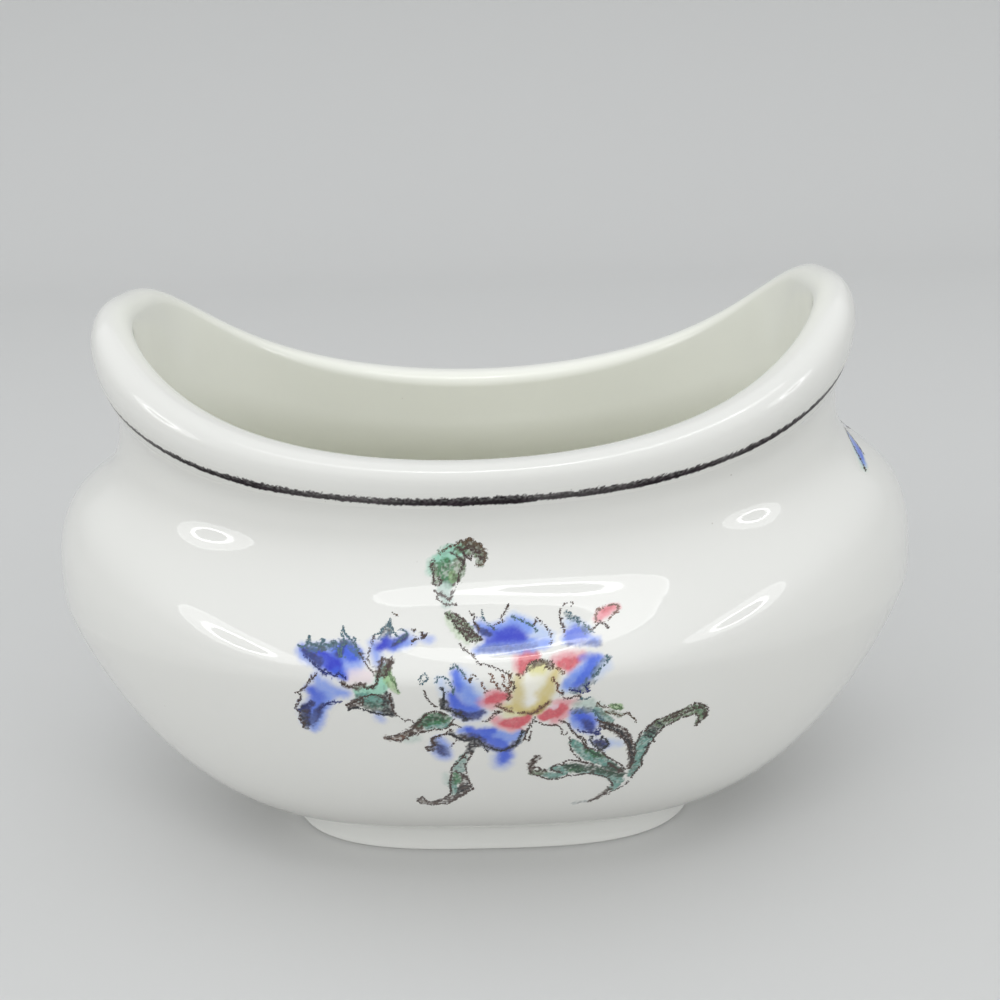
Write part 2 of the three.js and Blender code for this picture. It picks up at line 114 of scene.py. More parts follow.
def ease(first, second, t):
    """A cubic curve from 0 to 1 with two handle values."""
    return 3 * (1 - t) ** 2 * t * first + 3 * (1 - t) * t * t * second + t ** 3


def between(low, high, sideways, upward):
    """A level between two others: size and squareness go sideways, height and rise go upward."""
    share = np.array([sideways, sideways, upward, upward, sideways])
    return low + (high - low) * share


def outer(t):
    """The outside of the wall at t: 0 the crease, 1 the belly, 2 the neck, 3 the side of the lip."""
    if t <= 1:
        return between(crease, belly, ease(*hull_out, t), ease(*hull_up, t))
    if t <= 2:
        level = between(belly, neck, ease(0, 1, t - 1), ease(*shoulder_up, t - 1))
        tip = belly[2] + (neck[2] + neck[3] - belly[2]) * ease(*shoulder_tip_up, t - 1)
        level[3] = tip - level[2]
        return level
    return between(neck, lip_side, ease(0, 1, t - 2), ease(*flare_up, t - 2))


def inner(t):
    """The inside of the wall, square to the outside by its thickness, and straight above the neck."""
    if t > 2:
        return between(inner(2), lip_inside, t - 2, t - 2)
    step = 0.01
    low, high = outer(max(t - step, 0)), outer(min(t + step, 2))
    across = (high[0] - low[0] + high[1] - low[1]) / 2
    up = high[2] - low[2]
    inset = wall_thickness / math.hypot(across, up)
    return outer(t) + np.array([-inset * up, -inset * up, inset * across, 0, 0])


def flare_at(height, halvings=40):
    """The t on the flare whose height at mid length is the one asked for."""
    low, high = 2.0, 3.0
    for _ in range(halvings):
        middle = (low + high) / 2
        if outer(middle)[2] < height:
            low = middle
        else:
            high = middle
    return low


joint_t = flare_at(lip_height - joint_drop)


def rise_share(u):
    """How far a ring has risen, from the middle of a long side (0) to an end (1)."""
    return sum(share * u ** power for power, share in rise_powers)


def ring_points(levels, count):
    """Points in metres on each level, evenly spread round the oval, as rows by count by 3."""
    a, b, z, rise, n = (np.array(levels)[:, k, None] for k in range(5))
    angle = 2 * np.pi * np.arange(count) / count
    c, s = np.cos(angle), np.sin(angle)
    reach = (np.abs(c) ** n + np.abs(s) ** n) ** (-1 / n)
    height = z + rise * rise_share(np.abs(reach * c))
    return np.stack([a * reach * c, b * reach * s, height + 0 * reach], -1) * MM


def put(name, made):
    """An object in the scene for a mesh, a lamp or a lens."""
    piece = bpy.data.objects.new(name, made)
    bpy.context.scene.collection.objects.link(piece)
    return piece


def edge_ends(mesh):
    """The numbers of the two points of each edge."""
    ends = np.zeros(len(mesh.edges) * 2, np.int32)
    mesh.edges.foreach_get("vertices", ends)
    return ends.reshape(-1, 2)


def smooth(mesh, crisp):
    """Shades a mesh smoothly, apart from its crisp edges."""
    mesh.polygons.foreach_set("use_smooth", np.ones(len(mesh.polygons), bool))
    mesh.attributes.new("sharp_edge", "BOOLEAN", "EDGE").data.foreach_set("value", crisp)
    mesh.update()


def skin(name, levels, count, joined, sharp):
    """A smooth closed mesh over a list of levels; the edges of the rings in sharp stay crisp."""
    rings = ring_points(levels, count)
    points = rings.reshape(-1, 3)
    rows = len(levels) if joined else len(levels) - 1
    r, i = np.meshgrid(np.arange(rows), np.arange(count), indexing="ij")
    up, on = (r + 1) % len(levels), (i + 1) % count
    quads = np.stack([r * count + i, r * count + on, up * count + on, up * count + i], -1)
    faces = quads.reshape(-1, 4).tolist()
    if not joined:
        first, last = len(points), (len(levels) - 1) * count
        ends = rings[[0, -1]].mean(1)
        points = np.vstack([points, ends])
        for k in range(count):
            j = (k + 1) % count
            faces.append([first, j, k])
            faces.append([first + 1, last + k, last + j])
    mesh = bpy.data.meshes.new(name)
    mesh.from_pydata(points.tolist(), [], faces)
    row_of = edge_ends(mesh) // count
    smooth(mesh, (row_of[:, 0] == row_of[:, 1]) & np.isin(row_of[:, 0], sharp))
    return put(name, mesh)


def steps(start, end, count):
    """Values from start to end, with that many even gaps between them."""
    return list(np.linspace(start, end, count + 1))


def add(tree, kind, **inputs):
    """A node of that kind, with its inputs set by name."""
    node = tree.nodes.new(kind)
    for key, value in inputs.items():
        node.inputs[key.replace("_", " ")].default_value = value
    return node


def on_points(tree, name):
    """What a node reads from an attribute on the piece's own points."""
    node = tree.nodes.new("ShaderNodeAttribute")
    node.attribute_name = name
    return node.outputs


def blend(tree, share, first, second):
    """Mixes two colours by a share; each colour is a link or a constant."""
    node = tree.nodes.new("ShaderNodeMix")
    node.data_type = "RGBA"
    tree.links.new(share, node.inputs["Factor"])
    for key, colour in (("A", first), ("B", second)):
        if isinstance(colour, tuple):
            node.inputs[key].default_value = (*colour, 1)
        else:
            tree.links.new(colour, node.inputs[key])
    return node.outputs["Result"]


def glaze(name, white, grey, roughness=body_roughness, painted=False):
    """Clear glossy glaze over a white body, cloudy in tone, greyed by painted shade, with rare specks.

    Where its points say so, it is painted whiter and a little greener inside the bowl, as painted light
    that makes up for the shade in there. A painted glaze also carries fired colours, which its points hold
    with how far they cover it.
    """
    material = bpy.data.materials.new(name)
    material.use_nodes = True
    tree = material.node_tree
    link = tree.links.new
    shader = tree.nodes["Principled BSDF"]
    shader.inputs["Roughness"].default_value = roughness
    shader.inputs["IOR"].default_value = glaze_index
    shader.inputs["Specular IOR Level"].default_value = body_shine
    shader.inputs["Coat Weight"].default_value = 1.0
    shader.inputs["Coat Roughness"].default_value = coat_roughness
    shader.inputs["Coat IOR"].default_value = glaze_index
    place = tree.nodes.new("ShaderNodeTexCoord").outputs["Object"]
    cloud = add(tree, "ShaderNodeTexNoise", Scale=cloud_scale, Detail=cloud_detail)
    link(place, cloud.inputs["Vector"])
    depth = tree.nodes.new("ShaderNodeMath")
    depth.operation = "MULTIPLY_ADD"
    depth.use_clamp = True
    depth.inputs[1].default_value = cloud_depth
    link(cloud.outputs["Fac"], depth.inputs[0])
    link(on_points(tree, "painted_shade")["Fac"], depth.inputs[2])
    surface = blend(tree, on_points(tree, "inside")["Fac"], white, inside_lit_white)
    surface = blend(tree, depth.outputs[0], surface, grey)
    cells = add(tree, "ShaderNodeTexVoronoi", Scale=speck_scale)
    link(place, cells.inputs["Vector"])
    near = add(tree, "ShaderNodeMapRange", From_Min=speck_edge, From_Max=speck_core)
    link(cells.outputs["Distance"], near.inputs["Value"])
    rare = tree.nodes.new("ShaderNodeMath")
    rare.operation = "MULTIPLY"
    link(near.outputs["Result"], rare.inputs[0])
    link(cells.outputs["Color"], rare.inputs[1])
    surface = blend(tree, rare.outputs[0], surface, speck_brown)
    if painted:
        fired = on_points(tree, "paint")
        surface = blend(tree, fired["Alpha"], surface, fired["Color"])
    link(surface, shader.inputs["Base Color"])
    ripple = add(tree, "ShaderNodeTexNoise", Scale=ripple_scale, Detail=ripple_detail)
    link(place, ripple.inputs["Vector"])
    bump = add(tree, "ShaderNodeBump", Strength=ripple_strength, Distance=ripple_height * MM)
    link(ripple.outputs["Fac"], bump.inputs["Height"])
    link(bump.outputs["Normal"], shader.inputs["Normal"])
    link(bump.outputs["Normal"], shader.inputs["Coat Normal"])
    return material


def mark_rings(piece, name, values, count):
    """Writes a value from 0 to 1 on each ring of a skin; the end discs' middles take the last one."""
    marks = np.full(len(piece.data.vertices), values[-1], np.float32)
    marks[:len(values) * count] = np.repeat(values, count)
    piece.data.attributes.new(name, "FLOAT", "POINT").data.foreach_set("value", marks)


def close_to(values, middle, reach, power=2):
    """1 where a value is at the middle, 0 well beyond the reach; a higher power falls more abruptly."""
    return np.exp(-np.abs((np.array(values) - middle) / reach) ** power)


body_count = 400
hull_rows, crease_rows = 58, 6
shoulder_rows, flare_rows, joint_rows, inside_rows = 80, 12, 8, 60
base_shares = (0.08, 0.3, 0.55, 0.75, 0.9, 0.97)
floor_shares = (0.97, 0.9, 0.8, 0.65, 0.5, 0.35, 0.2, 0.08)
floor_inside = inner(0)
floor_levels = []
for share in floor_shares:
    level = floor_inside.copy()
    level[:2] *= share
    level[2] -= floor_dish * (1 - share ** 2)
    floor_levels.append(level)
base_levels = []
for share in base_shares:
    level = crease.copy()
    level[:2] *= share
    base_levels.append(level)
below_joint = joint_t - joint_step
first_step = 1 / hull_rows
outside_ts = steps(0, first_step, crease_rows) + steps(first_step, 1, hull_rows - 1)[1:]
outside_ts += steps(1, 2, shoulder_rows)[1:] + steps(2, below_joint, flare_rows)[1:] + [joint_t]
inside_ts = [joint_t, below_joint] + steps(joint_t - joint_margin, 2, joint_rows)
inside_ts += steps(2, 0, inside_rows)[1:]
outside = [outer(t) for t in outside_ts]
inside = [inner(t) for t in inside_ts]
body_levels = base_levels + outside + inside + floor_levels
joint_row = len(base_levels) + len(outside) - 1
body = skin("bowl_body", body_levels, body_count, False, (len(base_levels), joint_row, joint_row + 1))
# Painted shade: the glaze is greyed in the crease above the foot and under the hull, and more deeply down
# inside the bowl
outer_lengths = [level[0] for level in base_levels + outside]
outer_shade = close_to(outer_lengths, crease[0], crease_shade_reach)
outer_shade += hull_shade * close_to(outer_lengths, crease[0], hull_shade_reach, hull_shade_power)
inner_heights = [level[2] for level in inside + floor_levels]
inner_shade = inside_shade * np.interp(inner_heights, (inside_shade_low, inside_shade_high), (1, 0))
mark_rings(body, "painted_shade", np.minimum(np.concatenate([outer_shade, inner_shade]), 1), body_count)
# Painted light: the inside of the bowl is painted whiter and a little greener than the outside
mark_rings(body, "inside", [0.0] * len(outer_shade) + [1.0] * len(inner_shade), body_count)
porcelain = glaze("porcelain_glaze", glaze_white, cloud_and_shade_grey)
body.data.materials.append(porcelain)
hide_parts("body_shell")
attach(body, "root")


# The rolled lip
# A thick, round lip, thrown over outwards and luted to the neck of the body, where the dark line runs.
# It rises at both ends, and the same clear glaze runs over it.
lip_crest_share = 0.47
lip_count = 400
lip_flare_rows, roll_rows, lip_inside_rows = 14, 40, 6
inside_blend = 2.0
above_joint = joint_t + joint_step
flare = [outer(t) for t in [joint_t, above_joint] + steps(joint_t + joint_margin, 3, lip_flare_rows)]
crest_in = lip_thickness * lip_crest_share
roll = []
for angle in steps(0, math.pi, roll_rows)[1:]:
    rising = angle <= math.pi / 2
    inward = crest_in * (1 - math.cos(angle))
    if not rising:
        inward = crest_in - (lip_thickness - crest_in) * math.cos(angle)
    level = lip_side.copy()
    level[:2] -= inward
    level[2] += lip_roll * math.sin(angle)
    level[3] = side_rise + (lip_rise - side_rise) * math.sin(angle) if rising else lip_rise
    roll.append(level)
return_ts = steps(3, joint_t + joint_margin, lip_inside_rows)[1:] + [above_joint, joint_t]
lip_levels = flare + roll + [inner(t) for t in return_ts]
lip = skin("rolled_lip_glazed", lip_levels, lip_count, True, (0, len(lip_levels) - 1))
# Painted light: past its crest the lip takes the inside's whiter, greener painted tone
past_crest = [(lip_side[1] - level[1] - crest_in) / inside_blend for level in lip_levels[len(flare):]]
mark_rings(lip, "inside", [0.0] * len(flare) + list(np.clip(past_crest, 0, 1)), lip_count)
lip.data.materials.append(porcelain)
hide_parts("rolled_lip")
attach(lip, "root")


# The foot ring
# A low oval ring, luted under the body with slip at the crease that shows above it. Its glaze is clear
# and glossy, over a tone painted whiter than the body's as painted light, with painted shade at the crease.
foot_wall = 3.4
foot_spread = 1.5
foot_round = 0.6
groove_height, groove_depth = 0.28, 0.6
foot_count = 320
foot_flare_power = 1.7
foot_side_rows, foot_round_rows, foot_back_rows = 16, 6, 8
foot_roughness = 0.4
foot_lit_white = (0.93, 0.93, 0.89)
foot_shade, foot_shade_reach = 0.5, 0.7
foot_out = crease - np.array([foot_spread, foot_spread, crease_height, 0, 0])
slip_groove = foot_out.copy()
slip_groove[:2] += foot_spread - groove_depth
slip_groove[2] = crease_height
foot_levels = [slip_groove]
side_top = crease_height - groove_height
for share in steps(1, 0, foot_side_rows):
    level = foot_out.copy()
    level[:2] += foot_spread * share ** foot_flare_power
    level[2] = foot_round + (side_top - foot_round) * share
    foot_levels.append(level)
for angle in steps(0, math.pi / 2, foot_round_rows)[1:]:
    level = foot_out.copy()
    level[:2] -= foot_round * (1 - math.cos(angle))
    level[2] = foot_round * (1 - math.sin(angle))
    foot_levels.append(level)
for angle in steps(math.pi / 2, 0, foot_round_rows):
    level = foot_out.copy()
    level[:2] -= foot_wall - foot_round * (1 - math.cos(angle))
    level[2] = foot_round * (1 - math.sin(angle))
    foot_levels.append(level)
for share in steps(0, 1, foot_back_rows)[1:]:
    level = foot_out.copy()
    level[:2] -= foot_wall
    level[2] = foot_round + (crease_height - foot_round) * share
    foot_levels.append(level)
foot_levels.reverse()
foot = skin("foot_ring_glazed", foot_levels, foot_count, True, (0, len(foot_levels) - 1))
foot_heights = [level[2] for level in foot_levels]
# Painted shade: the foot's glaze is greyed at the crease
mark_rings(foot, "painted_shade", foot_shade * close_to(foot_heights, crease_height, foot_shade_reach), foot_count)
foot.data.materials.append(glaze("foot_glaze", foot_lit_white, cloud_and_shade_grey, foot_roughness))
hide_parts("foot_ring")
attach(foot, "root")


# The dark line
# One band of brown-black enamel, run round the bowl with a loaded brush over the joint of body and lip.
# It is full along its lower edge and grainy above, and thin at the left-hand end, where the brush ran dry.
line_half_width = 0.54
line_reach = 0.95
line_gloss, line_shine = 0.15, 0.05
line_columns, line_rows = 2300, 18
line_black = (0.009, 0.0065, 0.008)
layer_top, layer_bottom = 0.015, -0.05
# The brush runs dry towards the left-hand end, from a share of the half length on, and at thin places
dry_from, dry_rate = 0.72, 1.9
thin_size, thin_from, thin_rate = 7.0, 0.6, 0.35
dry_narrowing, dry_bareness = 0.5, 0.38
width_size, width_least, width_swing = 3.0, 0.86, 0.28
wander_size, wander_width = 9.0, 0.10
line_ragged = ((0.28, 0.33, 14), (0.28, 0.17, 15))
lower_ragged, line_edge = 0.5, 0.13
upper_from, upper_size, upper_bareness = -0.3, 0.2, 0.30
worn_size, worn_least, grey_size, grey_rate = 5.0, 0.25, 0.22, 7


def grain(x, y, size, seed, cells=256):
    """Smooth random values from 0 to 1, with features of that size."""
    lattice = np.random.default_rng(seed).random((cells, cells))
    x, y = x / size, y / size
    i, j = np.floor(x).astype(int), np.floor(y).astype(int)
    u, v = x - i, y - j
    u, v = u * u * (3 - 2 * u), v * v * (3 - 2 * v)
    i, j, right, up = i % cells, j % cells, (i + 1) % cells, (j + 1) % cells
    low = lattice[i, j] * (1 - u) + lattice[right, j] * u
    return low * (1 - v) + (lattice[i, up] * (1 - u) + lattice[right, up] * u) * v


def mottle(x, y, layers, middle=0.0):
    """Layers of grain added up; each has its share, its size in millimetres and its seed."""
    return sum(share * (grain(x, y, size, seed) - middle) for share, size, seed in layers)


def ramp(values, start, slope=1):
    """0 up to the start, then rising by the slope, to 1 at most."""
    return np.clip((values - start) * slope, 0, 1)


def fade(reach, soft):
    """1 well inside a stroke and 0 well outside it, from the distance past its edge and the edge's width."""
    share = np.clip(0.5 - reach / soft, 0, 1)
    return share * share * (3 - 2 * share)


def layer(name, top, bottom, colour, cover, kept, closed=False):
    """A thin closed layer over the kept cells of a grid, with its colour and cover on its points."""
    columns = top.shape[1]
    at = np.arange(top.shape[0] * columns).reshape(top.shape[:2])
    r, c = np.nonzero(kept)
    on = (c + 1) % columns
    corners = np.stack([at[r, c], at[r, on], at[r + 1, on], at[r + 1, c]], -1)
    under = at.size
    faces = [corners, corners[:, ::-1] + under]
    rims = []
    framed = np.pad(np.pad(kept, ((0, 0), (1, 1)), "wrap" if closed else "constant"), ((1, 1), (0, 0)))
    for side, (down, across) in enumerate(((-1, 0), (0, 1), (1, 0), (0, -1))):
        bare = ~framed[r + 1 + down, c + 1 + across]
        first, second = corners[bare, side], corners[bare, (side + 1) % 4]
        faces.append(np.stack([second, first, first + under, second + under], -1))
        rims.append(np.stack([first, second], -1))
    used, faces = np.unique(np.concatenate(faces), return_inverse=True)
    points = np.concatenate([top.reshape(-1, 3), bottom.reshape(-1, 3)])[used]
    mesh = bpy.data.meshes.new(name)
    mesh.from_pydata(points.tolist(), [], faces.reshape(-1, 4).tolist())
    ends, rims = np.sort(used[edge_ends(mesh)], 1), np.sort(np.concatenate(rims), 1)
    smooth(mesh, np.isin(ends @ [2 * under, 1], rims @ [2 * under, 1]))
    paint = np.concatenate([colour, cover[..., None]], -1).reshape(-1, 4)
    paint = np.concatenate([paint, paint])[used].astype(np.float32)
    mesh.color_attributes.new("paint", "FLOAT_COLOR", "POINT").data.foreach_set("color", paint.ravel())
    return put(name, mesh)


line_height = outer(joint_t)[2]
line_heights = np.linspace(line_height - line_reach, line_height + line_reach, line_rows + 1)
line_levels = np.array([outer(flare_at(height)) for height in line_heights])
ring = ring_points(line_levels, line_columns)
ahead = np.roll(ring, -1, 1) - np.roll(ring, 1, 1)
outwards = np.cross(ahead, np.gradient(ring, axis=0))
outwards /= np.linalg.norm(outwards, axis=-1, keepdims=True)
stride = np.linalg.norm(ring[0] - np.roll(ring[0], 1, 0), axis=1) / MM
climb = np.linalg.norm(np.diff(ring, axis=0), axis=-1) / MM
above = np.vstack([0 * stride, np.cumsum(climb, 0)])
above -= above[line_rows // 2]
around = np.cumsum(stride) + 0 * above
end_share = -ring[..., 0] / MM / (neck_length / 2)
level_way = 0 * around
thin_places = ramp(grain(around, level_way, thin_size, 11), thin_from)
dryness = dry_rate * ramp(end_share, dry_from) + thin_rate * thin_places
half_width = line_half_width * (1 - dry_narrowing * dryness)
half_width *= width_least + width_swing * grain(around, level_way, width_size, 12)
wander = wander_width * (grain(around, level_way, wander_size, 13) - 0.5)
upper_part = ramp((above - wander) / half_width, upper_from)
ragged = mottle(around, above, line_ragged, 0.5) * (lower_ragged + (1 - lower_ragged) * upper_part)
line_cover = fade(np.abs(above - wander) - half_width + ragged, line_edge)
bareness = upper_bareness * upper_part * grain(around, above, upper_size, 16) ** 2
line_cover *= 1 - bareness - dry_bareness * dryness
worn = worn_least + (1 - worn_least) * grain(around, level_way, worn_size, 18)
greyness = grey_rate * worn * grain(around, above, grey_size, 17) ** 2
line_colour = np.array(line_black) * (1 + greyness)[..., None]
line = layer("dark_line", ring + outwards * layer_top * MM, ring + outwards * layer_bottom * MM,
             line_colour, np.clip(line_cover, 0, 1), np.ones((line_rows, line_columns), bool), closed=True)
line_glaze = glaze("line_enamel", glaze_white, cloud_and_shade_grey, painted=True)
line_shader = line_glaze.node_tree.nodes["Principled BSDF"]
line_shader.inputs["Coat Weight"].default_value = line_gloss
line_shader.inputs["Specular IOR Level"].default_value = line_shine
line.data.materials.append(line_glaze)
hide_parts("neck_line")
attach(line, "root")


# The flower spray on the front
# A broad flower, a side bloom and bud, a pink bud and seven leaves, in soft enamels laid over a printed
# outline and fired on. The blues bleed into the glaze, and the greens are hatched with brown.
enamel_cell = 0.12
spray_left, spray_right, spray_low, spray_high = -22.5, 27.5, -22.0, 19.8
spray_drop = 1.3
brush_spread = 0.2
bleed_from, bleed_power = 0.7, 1.6
bleed_start, bleed_width, bleed_strength = 0.3, 1.5, 0.7
drawn_least, drawn_share, drawn_edge = 0.07, 0.55, 0.16
stroke_margin = 2.5
strength_power, grit_crispness = 1.6, 0.45
# Layers of grain: each has its share, its size and its seed, as for the dark line
waver_across, waver_up_down = ((0.22, 0.7, 1), (0.16, 0.22, 2)), ((0.22, 0.7, 3), (0.16, 0.22, 4))
ragged_layers = ((0.5, 0.3, 21), (0.35, 0.15, 22))
# Where the grain passes a level it makes brown hatching, gaps in gritty strokes, or specks of drawn line
slant_along, slant_across, slant_share, slant_size = 0.5, 0.9, 0.45, 0.2
hatch_layers, hatch_from, hatch_slope, hatch_cover = ((0.55, 0.24, 9), (0.25, 0.9, 10)), 0.645, 7, 0.8
gap_layers, gap_from, gap_slope, gap_cover = ((0.6, 0.2, 25), (0.4, 0.4, 26)), 0.5, 7, 0.7
drawn_layers, drawn_from, drawn_slope = ((0.75, 0.19, 23), (0.25, 0.5, 24)), 0.42, 8
thin_grain, thin_grain_size, thin_grain_slope = 0.10, 0.16, 2
thin_cloud, thin_cloud_size, thin_cloud_middle = 0.12, 0.8, 0.3
profile_steps = 2400
nearly_end = 0.999


def enamel(red, green, blue, softness=1.0, bleeds=False, grit=0.0):
    """A fired colour, given as a screen shows it, with how soft, runny and full of dark grains it is."""
    shown = np.array([red, green, blue]) / 255
    return ((shown + 0.055) / 1.055) ** 2.4, softness, bleeds, grit


cobalt = enamel(16, 40, 192, 1.35, bleeds=True)
blue = enamel(46, 86, 214, 1.4, bleeds=True)
sky = enamel(118, 150, 234, 1.5)
pale = enamel(178, 200, 240, 1.5)
navy = enamel(16, 32, 104, 1.2, bleeds=True, grit=0.45)
ink = enamel(16, 20, 28, grit=0.8)
teal = enamel(66, 98, 108, grit=0.9)
pink = enamel(212, 80, 94, 1.2, grit=0.15)
rose = enamel(230, 142, 152, 1.4, grit=0.1)
blush = enamel(236, 210, 220)
straw = enamel(212, 194, 122, 1.6)
cream = enamel(244, 242, 232, 1.8)
lemon = enamel(224, 218, 152, 1.5)
ochre = enamel(150, 116, 60, grit=0.4)
leaf_green = enamel(44, 116, 66, grit=0.75)
deep_green = enamel(24, 66, 44, grit=0.75)
grass = enamel(160, 194, 134, grit=0.5)
aqua = enamel(142, 206, 180, 1.1, grit=0.3)
sea = enamel(92, 150, 138, grit=0.65)
moss = enamel(96, 124, 84, grit=0.75)
mist = enamel(176, 200, 190, 1.3, grit=0.2)
brown = enamel(84, 64, 44, grit=1.0)
umber = enamel(60, 38, 30, grit=1.0)
sepia = enamel(108, 72, 54, grit=1.0)

